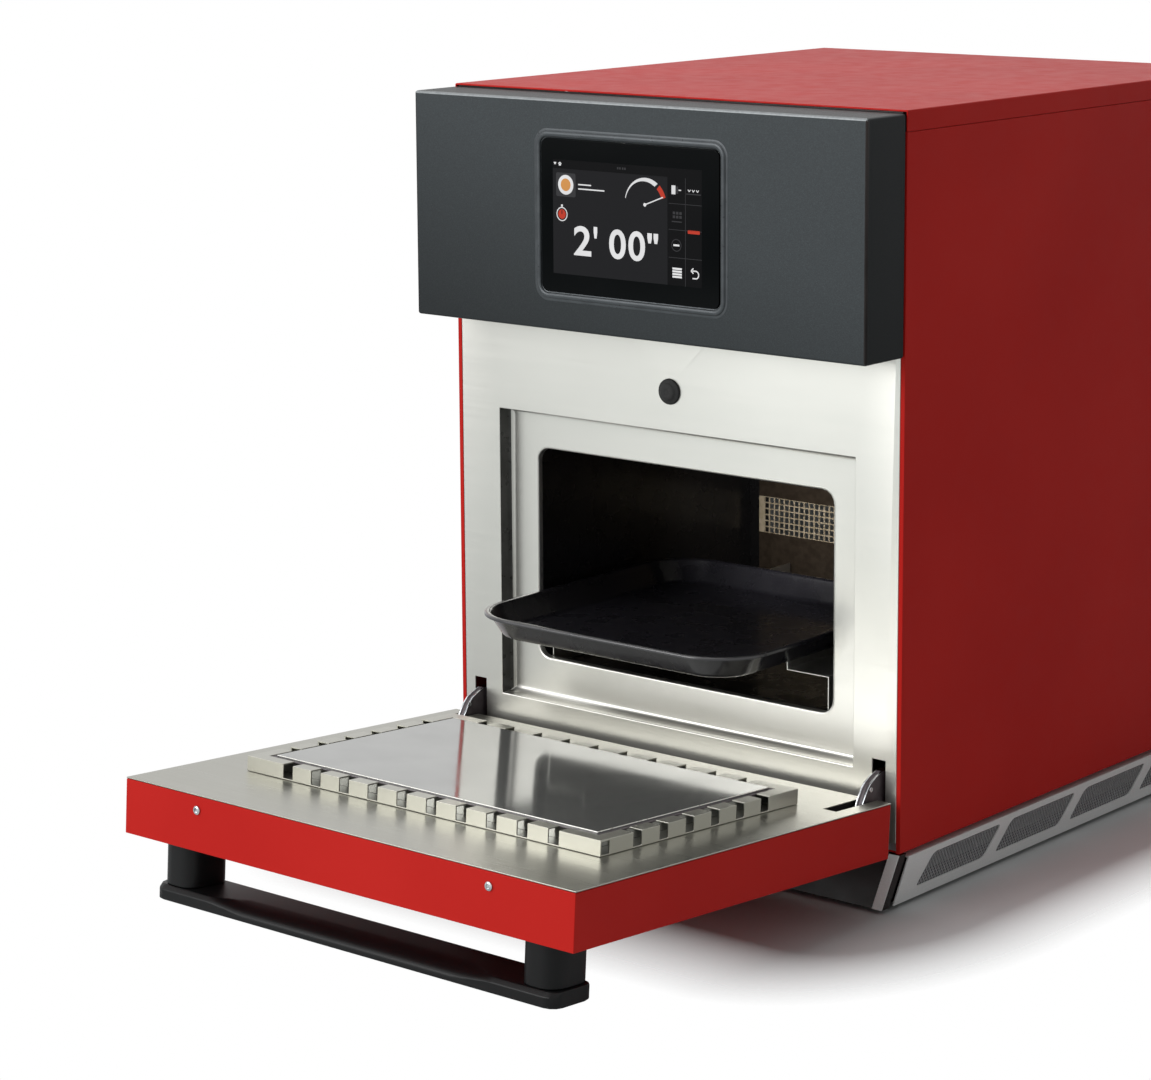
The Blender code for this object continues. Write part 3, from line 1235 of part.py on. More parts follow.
# Hinges. Outlines are in y from the front plate and height over the cabinet's lower edge.
ARM_THICKNESS = 0.007
ARM_BOSS = 0.0075
ARM_HOOK = 0.009
ARM_HOOK_RISE = 0.006
PIN_RADIUS = 0.003
CHANNEL_WALL = 0.0015
CHANNEL_LENGTH = 0.130
CHANNEL_FLOOR = 0.0068
CHANNEL_DEPTH = DOOR_THICKNESS - CHANNEL_FLOOR
SLOT_LENGTH = 0.0545
SLOT_END_FLOOR = 0.0178
SLOT_END_DEPTH = DOOR_THICKNESS - SLOT_END_FLOOR
ARM_CURVE_SHARES = ((0.0, 0.99), (0.30, 0.955), (0.56, 0.90), (0.72, 0.835), (0.82, 0.77), (0.93, 0.70))
ARM_TOP = 0.0635
ARM_LOW = 0.034


def hinge_arm(name, side):
    """A flat arm hooked into the front plate's slot, with the eye that the door turns on."""
    pin = (HINGE_Y, HINGE_Z)
    low, high = BODY_BOTTOM + ARM_LOW, BODY_BOTTOM + ARM_TOP
    behind = FRAME_SHEET + CLEARANCE
    outline = [
        (share_y * HINGE_Y, BODY_BOTTOM + share_z * ARM_TOP) for share_y, share_z in ARM_CURVE_SHARES
    ]
    outline += arc(pin, ARM_BOSS, 140, 300, 8)
    hook_low, hook_back = low - ARM_HOOK_RISE, behind + ARM_HOOK
    outline += [
        (-CLEARANCE, low), (behind, low), (behind, hook_low), (hook_back, hook_low),
        (hook_back, high), (0, high),
    ]
    outline = outline[1:]
    obj = plate([outline], centred(ARM_THICKNESS, side * SLOT_MIDDLE), "x")
    place(obj, name, OVEN, "chrome")
    through = centred(ARM_THICKNESS + OVERRUN, side * SLOT_MIDDLE)
    cut(obj, cylinder(PIN_RADIUS + CLEARANCE, through, pin, "x", 16))


# Door. u runs from the hinge end to the free end, v down from the inner face.
DOOR_SHEET = 0.0012
INNER_SHEET = 0.001
DOOR_FILL_EDGE = 0.0357
DOOR_FILL_HALF = DOOR_WIDTH / 2 - DOOR_FILL_EDGE
DOOR_FILL_END = 0.010
CHOKE_SIDE_GAP = 0.003
CHOKE_LOW_GAP = 0.0027
CHOKE_HIGH_GAP = 0.0038
CHOKE_SINK = 0.0018
CHOKE_PLATE_SINK = 0.001
CHOKE_HALF = RECESS_WIDTH / 2 - CHOKE_SIDE_GAP
CHOKE_FIRST = RECESS_RISE - DOOR_FOOT + CHOKE_LOW_GAP
CHOKE_LAST = RECESS_RISE + RECESS_HEIGHT - DOOR_FOOT - CHOKE_HIGH_GAP
CHOKE_HEIGHT = RECESS_DEPTH - CHOKE_SINK
CHOKE_PLATE_HEIGHT = RECESS_DEPTH - CHOKE_PLATE_SINK
CHOKE_FLANGE = 0.012
CHOKE_GROOVE = 0.004
CHOKE_SLOT = 0.010
CHOKE_SLOTS = 10
CHOKE_CORNER = 0.009
CHOKE_PITCH_SHARE = 0.0836
CHOKE_PITCH = 2 * CHOKE_HALF * CHOKE_PITCH_SHARE
CHOKE_SIDE_SLOTS = 6
CHOKE_SIDE_PITCH_SHARE = 0.129
CHOKE_SIDE_PITCH = (CHOKE_LAST - CHOKE_FIRST) * CHOKE_SIDE_PITCH_SHARE
POST_EDGE = 0.0437
POST_X = DOOR_WIDTH / 2 - POST_EDGE
POST_SETBACK = 0.0208
POST_U = HANDLE_BACK_U + POST_SETBACK
POST_HALF_X = 0.0173
POST_HALF_U = 0.0218
POST_POWER = 3.0


def door_box(x, u, v):
    """A box given by door coordinates, in the frame of the hinge axis."""
    return box(x, along(u), down(v))


def along(span):
    return (HINGE_INSET - span[1], HINGE_INSET - span[0])


def down(span):
    return (HINGE_MID - span[1], HINGE_MID - span[0])


def door_skin():
    """The red outer pan of the door, slotted at its foot for the hinge arms."""
    x, u = (-DOOR_WIDTH / 2, DOOR_WIDTH / 2), (0, DOOR_LENGTH)
    v = (INNER_SHEET + CLEARANCE, DOOR_THICKNESS)
    obj = place(door_box(x, u, v), "door_skin", DOOR, "red_paint")
    wall = DOOR_SHEET
    cut(obj, door_box(inset(x, wall), inset(u, wall), (-OVERRUN, v[1] - wall)))
    for side in (-1, 1):
        slot_x = centred(SLOT_WIDTH, side * SLOT_MIDDLE)
        cut(obj, door_box(slot_x, (-OVERRUN, wall + OVERRUN), (-OVERRUN, SLOT_END_DEPTH)))


def door_inner_panel():
    """The steel inner face of the door, open over the hinge channels."""
    x, u = (-DOOR_WIDTH / 2, DOOR_WIDTH / 2), (0, DOOR_LENGTH)
    obj = place(door_box(x, u, (0, INNER_SHEET)), "door_inner_panel", DOOR, "brushed_steel")
    for side in (-1, 1):
        slot_x = centred(SLOT_WIDTH, side * SLOT_MIDDLE)
        cut(obj, door_box(slot_x, (-OVERRUN, SLOT_LENGTH), (-OVERRUN, OVERRUN)))


def door_insulation():
    x, u = (-DOOR_FILL_HALF, DOOR_FILL_HALF), inset((0, DOOR_LENGTH), DOOR_FILL_END)
    v = (INNER_SHEET + CLEARANCE, DOOR_THICKNESS - DOOR_SHEET - CLEARANCE)
    place(door_box(x, u, v), "door_insulation", DOOR, "glass_wool")


def choke_frame():
    """The microwave seal round the door's plate: a wall folded in at its top, cut into teeth."""
    x, u = (-CHOKE_HALF, CHOKE_HALF), (CHOKE_FIRST, CHOKE_LAST)
    top, base = -CHOKE_HEIGHT, -CLEARANCE
    wall = SHEET
    obj = place(door_box(x, u, (top, base)), "choke_frame", DOOR, "brushed_steel")
    flange = CHOKE_FLANGE
    seat = CHOKE_FLANGE + CHOKE_GROOVE - CLEARANCE
    cut(
        obj,
        door_box(inset(x, wall), inset(u, wall), (top + wall, base - INNER_SHEET)),
        door_box(inset(x, flange), inset(u, flange), (top - OVERRUN, base - INNER_SHEET)),
        door_box(inset(x, seat), inset(u, seat), (top - OVERRUN, base + OVERRUN)),
    )
    v = (top - OVERRUN, base - INNER_SHEET)
    reach = flange + OVERRUN / 2
    for number in range(CHOKE_SLOTS):
        middle = (number - (CHOKE_SLOTS - 1) / 2) * CHOKE_PITCH
        slot_x = centred(CHOKE_SLOT, middle)
        cut(
            obj,
            door_box(slot_x, (u[0] - OVERRUN, u[0] + reach), v),
            door_box(slot_x, (u[1] - reach, u[1] + OVERRUN), v),
        )
    for number in range(CHOKE_SIDE_SLOTS):
        middle = sum(u) / 2 + (number - (CHOKE_SIDE_SLOTS - 1) / 2) * CHOKE_SIDE_PITCH
        slot_u = centred(CHOKE_SLOT, middle)
        cut(
            obj,
            door_box((x[0] - OVERRUN, x[0] + reach), slot_u, v),
            door_box((x[1] - reach, x[1] + OVERRUN), slot_u, v),
        )
    corner_u = (u[1] - wall - CHOKE_CORNER, u[1] - wall)
    corner_v = (top + wall, base - INNER_SHEET)
    for edge in x:
        cut(obj, door_box(centred(2 * wall + 2 * OVERRUN, edge), corner_u, corner_v))


def choke_plate():
    """The bright raised plate that faces the chamber, a shallow pan set inside the teeth."""
    rim = CHOKE_FLANGE + CHOKE_GROOVE
    x, u = inset((-CHOKE_HALF, CHOKE_HALF), rim), inset((CHOKE_FIRST, CHOKE_LAST), rim)
    obj = place(door_box(x, u, (-CHOKE_PLATE_HEIGHT, -CLEARANCE)), "choke_plate", DOOR, "mirror_steel")
    hollow_v = (INNER_SHEET - CHOKE_PLATE_HEIGHT, OVERRUN)
    cut(obj, door_box(inset(x, INNER_SHEET), inset(u, INNER_SHEET), hollow_v))


def hinge_channel(name, side):
    """The channel in the door that holds a hinge pin and takes the arm."""
    wall = CHANNEL_WALL
    half = SLOT_WIDTH / 2 + wall
    x = centred(2 * half, side * SLOT_MIDDLE)
    start = DOOR_SHEET + CLEARANCE
    u = (start, start + CHANNEL_LENGTH)
    v = (INNER_SHEET + CLEARANCE, CHANNEL_DEPTH)
    obj = place(door_box(x, u, v), name, DOOR, "galvanised_steel")
    cut(
        obj,
        door_box(inset(x, wall), inset(u, -OVERRUN), (-OVERRUN, v[1] - wall)),
        cylinder(PIN_RADIUS + CLEARANCE, inset(x, -OVERRUN), (0, 0), "x", 16),
    )


def hinge_pin(name, side):
    """The pin that the door turns on, headed at its outer end."""
    half = SLOT_WIDTH / 2 + CHANNEL_WALL + CLEARANCE
    end = SLOT_MIDDLE + half
    profile = [
        (0, end + SHEET), (PIN_RADIUS + SHEET, end + SHEET), (PIN_RADIUS + SHEET, end),
        (PIN_RADIUS, end), (PIN_RADIUS, SLOT_MIDDLE - half), (0, SLOT_MIDDLE - half),
    ]
    obj = turned(profile, "right" if side > 0 else "left", (0, 0, 0), 16)
    smooth(place(obj, name, DOOR, "chrome"))


# Handle.
BAR_END = 0.057
BAR_CHANGE = 0.038
BAR_CORNER = 0.010
BAR_CHAMFER = 0.0035
BAR_EASE_BACK = 0.023
BAR_EASE_DOWN = 0.0078
BAR_EDGE = 0.0012
BAR_EASE_STEPS = 7
BAR_CHANGE_STEPS = ((0, 0), (0.25, 0.16), (0.5, 0.5), (0.75, 0.84), (1, 1))
BAR_CORNER_STEPS = 3


def superellipse(half_a, half_b, power, count=24):
    """Points of a rounded oblong. A power of 2 is an ellipse, and higher ones are squarer."""
    points = []
    for step in range(count):
        angle = 2 * math.pi * (step + 1 / 2) / count
        cosine, sine = math.cos(angle), math.sin(angle)
        a = math.copysign(abs(cosine) ** (2 / power), cosine)
        b = math.copysign(abs(sine) ** (2 / power), sine)
        points.append((half_a * a, half_b * b))
    return points


def handle_post(name, side):
    outline = [
        (side * POST_X + a, HINGE_INSET - POST_U + b)
        for a, b in superellipse(POST_HALF_X, POST_HALF_U, POST_POWER)
    ]
    v = (DOOR_THICKNESS + CLEARANCE, DOOR_THICKNESS + HANDLE_STANDOFF - CLEARANCE)
    obj = plate([outline], down(v), "z")
    smooth(place(obj, name, DOOR, "black_plastic"))


def bar_section(inward, roundness):
    """The bar cut across: its inner front edge goes from a chamfer, at 0, to a soft round, at 1."""
    half_a, half_b = HANDLE_DEPTH / 2 - inward, HANDLE_THICKNESS / 2
    points = [(half_a, half_b - BAR_EDGE), (half_a - BAR_EDGE, half_b)]
    for step in range(BAR_EASE_STEPS + 1):
        share = step / BAR_EASE_STEPS
        angle = share * math.pi / 2
        straight = (BAR_CHAMFER * (1 - share), BAR_CHAMFER * share)
        curved = (BAR_EASE_BACK * (1 - math.sin(angle)), BAR_EASE_DOWN * (1 - math.cos(angle)))
        back, drop = (a + (b - a) * roundness for a, b in zip(straight, curved))
        points.append((-half_a + back, half_b - drop))
    points += [(-half_a, -half_b + BAR_EDGE), (-half_a + BAR_EDGE, -half_b)]
    return points + [(half_a - BAR_EDGE, -half_b), (half_a, -half_b + BAR_EDGE)]


def handle_bar():
    """The flat bar: chamfered over the posts, softly rounded between them where a hand holds it."""
    half = HANDLE_LENGTH / 2
    middle_y = HINGE_INSET - HANDLE_BACK_U - HANDLE_DEPTH / 2
    middle_z = HINGE_MID - DOOR_THICKNESS - HANDLE_STANDOFF - HANDLE_THICKNESS / 2
    square = half - BAR_END
    stations = []
    for step in range(BAR_CORNER_STEPS + 1):
        angle = step / BAR_CORNER_STEPS * math.pi / 2
        reach, inward = 1 - math.sin(angle), 1 - math.cos(angle)
        stations.append((half - BAR_CORNER * inward, BAR_CORNER * reach, 0))
    stations += [(square - BAR_CHANGE * share, 0, roundness) for share, roundness in BAR_CHANGE_STEPS]
    sections = [(-x, inward, roundness) for x, inward, roundness in stations]
    sections += [(x, inward, roundness) for x, inward, roundness in reversed(stations)]
    rings = []
    for x, inward, roundness in sections:
        outline = bar_section(inward, roundness)
        rings.append([(x, middle_y + a, middle_z + b) for a, b in outline])
    smooth(place(loft(rings), "handle_bar", DOOR, "black_plastic"), 30)


# Assembly.
SIDES = (("left", -1), ("right", 1))
plinth_frame()
for side_name, side_sign in SIDES:
    foot(f"foot_front_{side_name}", side_sign, False)
    foot(f"foot_rear_{side_name}", side_sign, True)
    plinth_side(f"plinth_side_{side_name}", side_sign)
    plinth_mesh(f"plinth_mesh_{side_name}", side_sign)
    side_panel(f"side_panel_{side_name}", side_sign)
    rack_support(f"rack_support_{side_name}", side_sign)
    magnetron(f"magnetron_{side_name}", side_sign)
    hinge_arm(f"hinge_arm_{side_name}", side_sign)
    hinge_channel(f"hinge_channel_{side_name}", side_sign)
    hinge_pin(f"hinge_pin_{side_name}", side_sign)
    handle_post(f"handle_post_{side_name}", side_sign)
front_plinth()
base_tray()
front_frame()
top_cover()
back_panel()
chamber()
insulation()
fan_guard()
temperature_probe()
hot_air_housing()
convection_fan()
heating_element()
fan_motor()
waveguide()
mode_stirrer()
stirrer_motor()
stirrer_cover()
component_shelf()
inverter()
cooling_fan_frame()
cooling_fan_rotor()
power_inlet()
exhaust_duct()
hood()
bezel()
touch_glass()
display_module()
control_board()
door_buffer()
cooking_tray()
door_skin()
door_inner_panel()
door_insulation()
choke_frame()
choke_plate()
handle_bar()
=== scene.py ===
# A countertop speed oven with its door open: fine pieces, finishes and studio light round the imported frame.
import bpy
import bmesh
import json
import math
from mathutils import Matrix, Vector

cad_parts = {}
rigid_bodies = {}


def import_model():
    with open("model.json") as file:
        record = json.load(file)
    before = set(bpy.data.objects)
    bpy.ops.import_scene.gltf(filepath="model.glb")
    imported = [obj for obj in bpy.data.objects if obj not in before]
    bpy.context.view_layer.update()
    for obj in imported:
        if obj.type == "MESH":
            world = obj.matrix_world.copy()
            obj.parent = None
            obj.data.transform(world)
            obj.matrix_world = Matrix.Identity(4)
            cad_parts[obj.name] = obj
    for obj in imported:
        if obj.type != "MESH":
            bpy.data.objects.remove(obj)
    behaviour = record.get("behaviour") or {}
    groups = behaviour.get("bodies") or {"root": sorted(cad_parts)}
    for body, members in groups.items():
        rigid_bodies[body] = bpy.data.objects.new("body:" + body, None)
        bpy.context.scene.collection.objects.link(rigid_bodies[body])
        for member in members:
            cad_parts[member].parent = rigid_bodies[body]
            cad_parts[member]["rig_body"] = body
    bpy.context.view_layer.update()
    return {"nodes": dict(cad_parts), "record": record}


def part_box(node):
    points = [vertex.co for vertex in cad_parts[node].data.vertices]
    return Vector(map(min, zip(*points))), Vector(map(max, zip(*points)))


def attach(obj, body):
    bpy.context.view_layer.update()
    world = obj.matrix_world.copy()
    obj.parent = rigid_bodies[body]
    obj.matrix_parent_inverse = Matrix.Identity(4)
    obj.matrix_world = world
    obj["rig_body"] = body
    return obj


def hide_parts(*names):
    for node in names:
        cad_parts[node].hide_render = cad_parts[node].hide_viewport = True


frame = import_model()
nodes = frame["nodes"]
bpy.ops.object.select_all(action="DESELECT")
print("frame loaded:", len(nodes), "nodes")


# Shader maths: a Wire is one socket of one finish, and an expression on wires adds Math nodes.
class Wire:
    def __init__(self, finish, socket):
        self.finish = finish
        self.socket = socket

    def maths(self, operation, first, second):
        return self.finish.node("ShaderNodeMath", {"operation": operation}, {0: first, 1: second})

    def __add__(self, other):
        return self.maths("ADD", self, other)

    def __radd__(self, other):
        return self.maths("ADD", other, self)

    def __sub__(self, other):
        return self.maths("SUBTRACT", self, other)

    def __rsub__(self, other):
        return self.maths("SUBTRACT", other, self)

    def __mul__(self, other):
        return self.maths("MULTIPLY", self, other)

    def __rmul__(self, other):
        return self.maths("MULTIPLY", other, self)

    def power(self, other):
        return self.maths("POWER", self, other)

    def absolute(self):
        return self.maths("ABSOLUTE", self, 0.0)

    def atLeast(self, floor):
        return self.maths("MAXIMUM", self, floor)


# One finish is one material: its settings go to the Principled shader, and wires to what varies.
class Finish:
    def __init__(self, name, **settings):
        self.material = bpy.data.materials.new(name)
        self.material.use_nodes = True
        self.tree = self.material.node_tree
        self.shader = self.tree.nodes["Principled BSDF"]
        self.place = Wire(self, self.tree.nodes.new("ShaderNodeTexCoord").outputs["Object"])
        parts = self.tree.nodes.new("ShaderNodeSeparateXYZ")
        self.tree.links.new(self.place.socket, parts.inputs[0])
        self.x, self.y, self.z = (Wire(self, parts.outputs[axis]) for axis in range(3))
        for socket, value in settings.items():
            self.set(socket.replace("_", " "), value)

    def set(self, name, value):
        self.feed(self.shader.inputs[name], value)

    def feed(self, socket, value):  # a link from a wire, or a plain value
        if isinstance(value, Wire):
            self.tree.links.new(value.socket, socket)
        else:
            socket.default_value = value

    # Any node: its settings first (a ramp's stops among them), then its sockets' values or links.
    def node(self, kind, settings, sockets, out=0):
        made = self.tree.nodes.new(kind)
        for name, value in settings.items():
            if name == "stops":
                ramp = made.color_ramp
                while len(ramp.elements) < len(value):
                    ramp.elements.new(0.5)
                for element, (position, tone) in zip(ramp.elements, value):
                    element.position = position
                    element.color = tone
            else:
                setattr(made, name, value)
        for socket, value in sockets.items():
            self.feed(made.inputs[socket], value)
        return Wire(self, made.outputs[out])

    # Noise in metres: scale is the number of features to a metre, stretched along the axes.
    def noise(self, scale, detail, stretch=(1, 1, 1)):
        spot = self.node("ShaderNodeMapping", {}, {"Vector": self.place, "Scale": stretch})
        return self.node("ShaderNodeTexNoise", {}, {"Vector": spot, "Scale": scale, "Detail": detail})

    def cells(self, scale):  # each cell has a colour of its own
        return self.node("ShaderNodeTexVoronoi", {}, {"Vector": self.place, "Scale": scale}, "Color")

    def between(self, wire, low, high, to=(0.0, 1.0)):
        return self.node(
            "ShaderNodeMapRange", {"clamp": True},
            {"Value": wire, "From Min": low, "From Max": high, "To Min": to[0], "To Max": to[1]},
        )

    def blend(self, amount, first, second, mode="MIX"):
        settings = {"data_type": "RGBA", "blend_type": mode, "clamp_result": True}
        return self.node("ShaderNodeMix", settings, {0: amount, 6: first, 7: second}, 2)

    def paint(self, amount, first, second):  # two screen colours, mixed by a wire
        self.set("Base Color", self.blend(amount, colour(*first), colour(*second)))

    def roughness(self, wire, least, most, low=0.3, high=0.7):  # these limits suit plain noise
        self.set("Roughness", self.between(wire, low, high, (least, most)))

    def bump(self, height, strength, distance):
        self.set("Normal", self.node(
            "ShaderNodeBump", {}, {"Height": height, "Strength": strength, "Distance": distance},
        ))


def colour(red, green, blue):  # a screen colour of 0 to 255 as a shader colour
    def linear(value):
        value /= 255
        return value / 12.92 if value <= 0.04045 else ((value + 0.055) / 1.055) ** 2.4
    return (linear(red), linear(green), linear(blue), 1.0)


def redPaint():
    finish = Finish("red_paint", Specular_IOR_Level=0.07)
    cloudy = finish.between(finish.noise(5, 2), 0.35, 0.65)
    finish.paint(cloudy, (188, 31, 26), (196, 36, 30))
    finish.roughness(finish.noise(60, 3), 0.40, 0.47)
    finish.bump(finish.noise(1300, 2), 0.10, 0.0004)
    return finish.material


def hoodPaint(name, first, second):  # painted shade: darker towards the lower left
    finish = Finish(name, Metallic=0.25, Specular_IOR_Level=0.12)
    fleck = finish.between(finish.noise(2600, 2), 0.45, 0.75)
    # painted shade: the base colour is darkened towards the lower left, standing in for the dark reflection
    # there
    lower = finish.between(finish.z + finish.x * 0.3, 0.38, 0.55, (0.5, 1.0))
    flecked = finish.blend(fleck, colour(*first), colour(*second))
    finish.set("Base Color", finish.blend(1.0, flecked, lower, "MULTIPLY"))
    finish.roughness(finish.noise(900, 2), 0.38, 0.48)
    finish.bump(finish.noise(1800, 3), 0.16, 0.0003)
    return finish.material


def brushedSteel(name, tone, rough, leftShadeShare=1.0):  # grain from side to side, with painted shade darker on the left
    finish = Finish(name, Metallic=0.94)
    grain = finish.noise(1, 2, (10, 1300, 1300))
    cloudy = finish.between(finish.noise(7, 3), 0.3, 0.7)
    light = colour(*tone)
    dark = colour(*[value - 6 for value in tone])
    # painted shade: the colour is darkened towards the left, as the light falls there
    across = finish.between(finish.x, -0.22, 0.10, (leftShadeShare, 1.0))
    base = finish.blend(cloudy * 0.7 + grain * 0.3, dark, light)
    finish.set("Base Color", finish.blend(1.0, base, across, "MULTIPLY"))
    finish.roughness(grain, rough - 0.03, rough + 0.04)
    finish.bump(grain, 0.02, 0.0001)
    return finish.material


def mirrorSteel():
    finish = Finish("mirror_steel", Metallic=0.64)
    haze = finish.between(finish.noise(24, 4), 0.35, 0.75)
    finish.paint(haze, (160, 161, 158), (150, 151, 148))
    finish.roughness(haze, 0.08, 0.12, 0, 1)
    finish.bump(finish.noise(14, 1), 0.03, 0.001)
    return finish.material


def brightZinc():
    finish = Finish("bright_zinc", Metallic=1.0)
    worn = finish.between(finish.noise(240, 3), 0.4, 0.7)
    finish.paint(worn, (204, 207, 210), (160, 163, 168))
    finish.roughness(worn, 0.10, 0.24, 0, 1)
    return finish.material


def galvanised():
    finish = Finish("galvanised_steel", Metallic=0.85)
    spangle = finish.cells(210)
    shade = finish.node("ShaderNodeSeparateColor", {}, {0: spangle})
    finish.paint(shade, (166, 169, 171), (184, 187, 189))
    finish.roughness(shade, 0.38, 0.48, 0, 1)
    finish.bump(finish.noise(300, 2), 0.05, 0.0003)
    return finish.material


def silverPaint():
    finish = Finish("silver_paint", Metallic=0.1, Specular_IOR_Level=0.5)
    fleck = finish.between(finish.noise(1700, 2), 0.4, 0.7)
    finish.paint(fleck, (236, 237, 236), (247, 248, 247))
    finish.roughness(finish.noise(700, 2), 0.36, 0.44)
    finish.bump(finish.noise(1900, 2), 0.12, 0.0003)
    return finish.material


def blackEnamel(name, gloss=0.2, tone=(22, 21, 21), coat=0.1):
    finish = Finish(name, Coat_Weight=coat, Coat_Roughness=0.12, Specular_IOR_Level=0.3)
    fleck = finish.between(finish.noise(1500, 2), 0.62, 0.72)
    finish.paint(fleck, tone, [value + 26 for value in tone])
    finish.roughness(finish.noise(40, 3), gloss, gloss + 0.14)
    finish.bump(finish.noise(420, 2), 0.10, 0.0004)
    return finish.material


def blackPlastic():
    finish = Finish("black_plastic", Specular_IOR_Level=0.22)
    grain = finish.noise(2300, 3)
    finish.paint(grain, (8, 8, 9), (13, 14, 15))
    finish.roughness(grain, 0.34, 0.46)
    finish.bump(grain, 0.22, 0.0003)
    return finish.material


# A lit area of the display: its own light, with the faint unevenness of a backlight.
def litArea(name, tone):
    finish = Finish(name, Roughness=0.3, Specular_IOR_Level=0.05, Emission_Strength=1.0)
    uneven = finish.between(finish.noise(30, 1), 0.3, 0.7)
    finish.paint(uneven, (6, 6, 7), (9, 9, 10))
    dimmer = colour(*[value * 0.94 for value in tone])
    finish.set("Emission Color", finish.blend(uneven, colour(*tone), dimmer))
    return finish.material


def plainFinish(name, first, second, rough, metallic, scale, bump, specular=0.5):
    finish = Finish(name, Metallic=metallic, Specular_IOR_Level=specular)
    cloudy = finish.between(finish.noise(scale, 3), 0.35, 0.65)
    finish.paint(cloudy, first, second)
    finish.roughness(finish.noise(scale * 2, 2), rough - 0.05, rough + 0.07)
    finish.bump(finish.noise(scale * 3, 2), bump, 0.0005)
    return finish.material


# Two colours that cloud into each other, roughness, metal, clouds to a metre, bump and specular.
plainFinishes = {
    "black_glass": ((9, 11, 12), (11, 13, 14), 0.08, 0.0, 6, 0.0, 0.05),
    "rubber": ((24, 24, 24), (32, 32, 32), 0.75, 0.0, 500, 0.2),
    "glass_wool": ((196, 180, 120), (224, 212, 160), 0.95, 0.0, 700, 0.9),
    "ceramic": ((216, 212, 200), (226, 222, 212), 0.5, 0.0, 60, 0.05),
    "circuit_board": ((20, 92, 48), (26, 108, 58), 0.45, 0.0, 260, 0.1),
    "aluminium": ((196, 198, 200), (210, 212, 214), 0.34, 1.0, 160, 0.08),
    # a darker steel, as painted shade for the recess's side walls
    "recess_wall_shade": ((70, 70, 68), (84, 84, 82), 0.30, 0.4, 60, 0.02, 0.3),
    # pale steel: the door rim's own steel edge, and a painted highlight on rounded edges
    "edge_steel_and_highlight": ((222, 221, 214), (232, 231, 225), 0.30, 0.6, 60, 0.02),
    # a painted highlight for the hood's upper front edge
    "hood_painted_highlight": ((128, 132, 134), (142, 146, 148), 0.36, 0.2, 400, 0.05, 0.3),
    # a dark zinc, as painted shade and painted dark reflection
    "zinc_painted_shade": ((72, 64, 68), (88, 80, 84), 0.40, 0.3, 140, 0.08),
    "mesh_steel": ((158, 159, 160), (176, 177, 178), 0.42, 0.2, 300, 0.1),
    "guard_steel": ((176, 160, 132), (198, 182, 156), 0.4, 0.2, 200, 0.1),
    "guard_plate": ((50, 42, 34), (62, 53, 44), 0.4, 0.1, 200, 0.1, 0.3),
    # the front plinth's own gloss black, also used as painted shade on the hood's side edges and in the joint
    "gloss_black_and_shade": ((22, 14, 13), (30, 20, 18), 0.16, 0.0, 20, 0.0, 0.3),
    # near-black, as painted shade inside slots and channels
    "inside_painted_shade": ((14, 12, 12), (20, 17, 17), 0.6, 0.0, 90, 0.1, 0.2),
    "bezel_satin": ((60, 64, 67), (68, 72, 75), 0.32, 0.4, 90, 0.02, 0.4),
}
litTones = {
    "dark": (5, 5, 6), "panel": (28, 28, 30), "line": (58, 58, 60), "white": (232, 232, 233),
    "red": (196, 62, 44), "amber": (214, 150, 84),
}
finishes = {
    "red_paint": redPaint(),
    "anthracite_paint": hoodPaint("anthracite_paint", (56, 60, 62), (72, 77, 80)),
    "brushed_steel": brushedSteel("brushed_steel", (218, 217, 211), 0.35, 0.80),
    "mirror_steel": mirrorSteel(),
    "chrome": brightZinc(),
    "galvanised_steel": galvanised(),
    "grey_paint": silverPaint(),
    "black_enamel": blackEnamel("black_enamel"),
    "black_plastic": blackPlastic(),
    "door_steel": brushedSteel("door_steel", (166, 165, 156), 0.30),
    "choke_steel": brushedSteel("choke_steel", (176, 175, 166), 0.32),
    # a darker copy of the hood paint, as painted shade for its sides and top
    "hood_painted_shade": hoodPaint("hood_painted_shade", (26, 28, 29), (36, 39, 41)),
    "tray_enamel": blackEnamel("tray_enamel", 0.22, (30, 29, 33), 0.8),
}
finishes.update({name: plainFinish(name, *values) for name, values in plainFinishes.items()})
finishes.update({"screen_" + tone: litArea("screen_" + tone, litTones[tone]) for tone in litTones})
slotOf = {row["node"]: row["material_slot"] for row in frame["record"]["subparts"]}
for node, slot in slotOf.items():
    nodes[node].data.materials.clear()
    nodes[node].data.materials.append(finishes[slot])
print("finishes:", len(finishes))


# Modelling by hand: select one thing, edit it, pick faces or edges by place, finish with modifiers.
same = 0.0002  # coordinates closer together than this count as equal
weld = 0.00001  # corners closer together than this become one
weldAngle = 1  # faces that differ by less than these degrees become one
bevelAngle = 38  # edges that turn by more than these degrees are rounded
foldSteps = 4
square, slanted = 0.9, 0.3  # how much of a face's normal lies along an axis


def only(piece):
    bpy.ops.object.select_all(action="DESELECT")
    piece.select_set(True)
    bpy.context.view_layer.objects.active = piece


def edit(piece):
    only(piece)
    bpy.ops.object.mode_set(mode="EDIT")
    bpy.ops.mesh.select_all(action="SELECT")


def leave():
    bpy.ops.object.mode_set(mode="OBJECT")


def pick(piece, kind, test):
    bpy.ops.mesh.select_mode(type=kind)
    bpy.ops.mesh.select_all(action="DESELECT")
    shape = bmesh.from_edit_mesh(piece.data)
    for item in {"VERT": shape.verts, "EDGE": shape.edges, "FACE": shape.faces}[kind]:
        if test(item):
            item.select_set(True)
    bmesh.update_edit_mesh(piece.data)


def onLine(**place):  # a test for edges with both ends at these coordinates, on either side of the middle
    def test(edge):
        return all(
            abs(abs(getattr(end.co, axis)) - abs(value)) < same
            for end in edge.verts for axis, value in place.items()
        )
    return test


def anyOf(*tests):
    return lambda item: any(test(item) for test in tests)


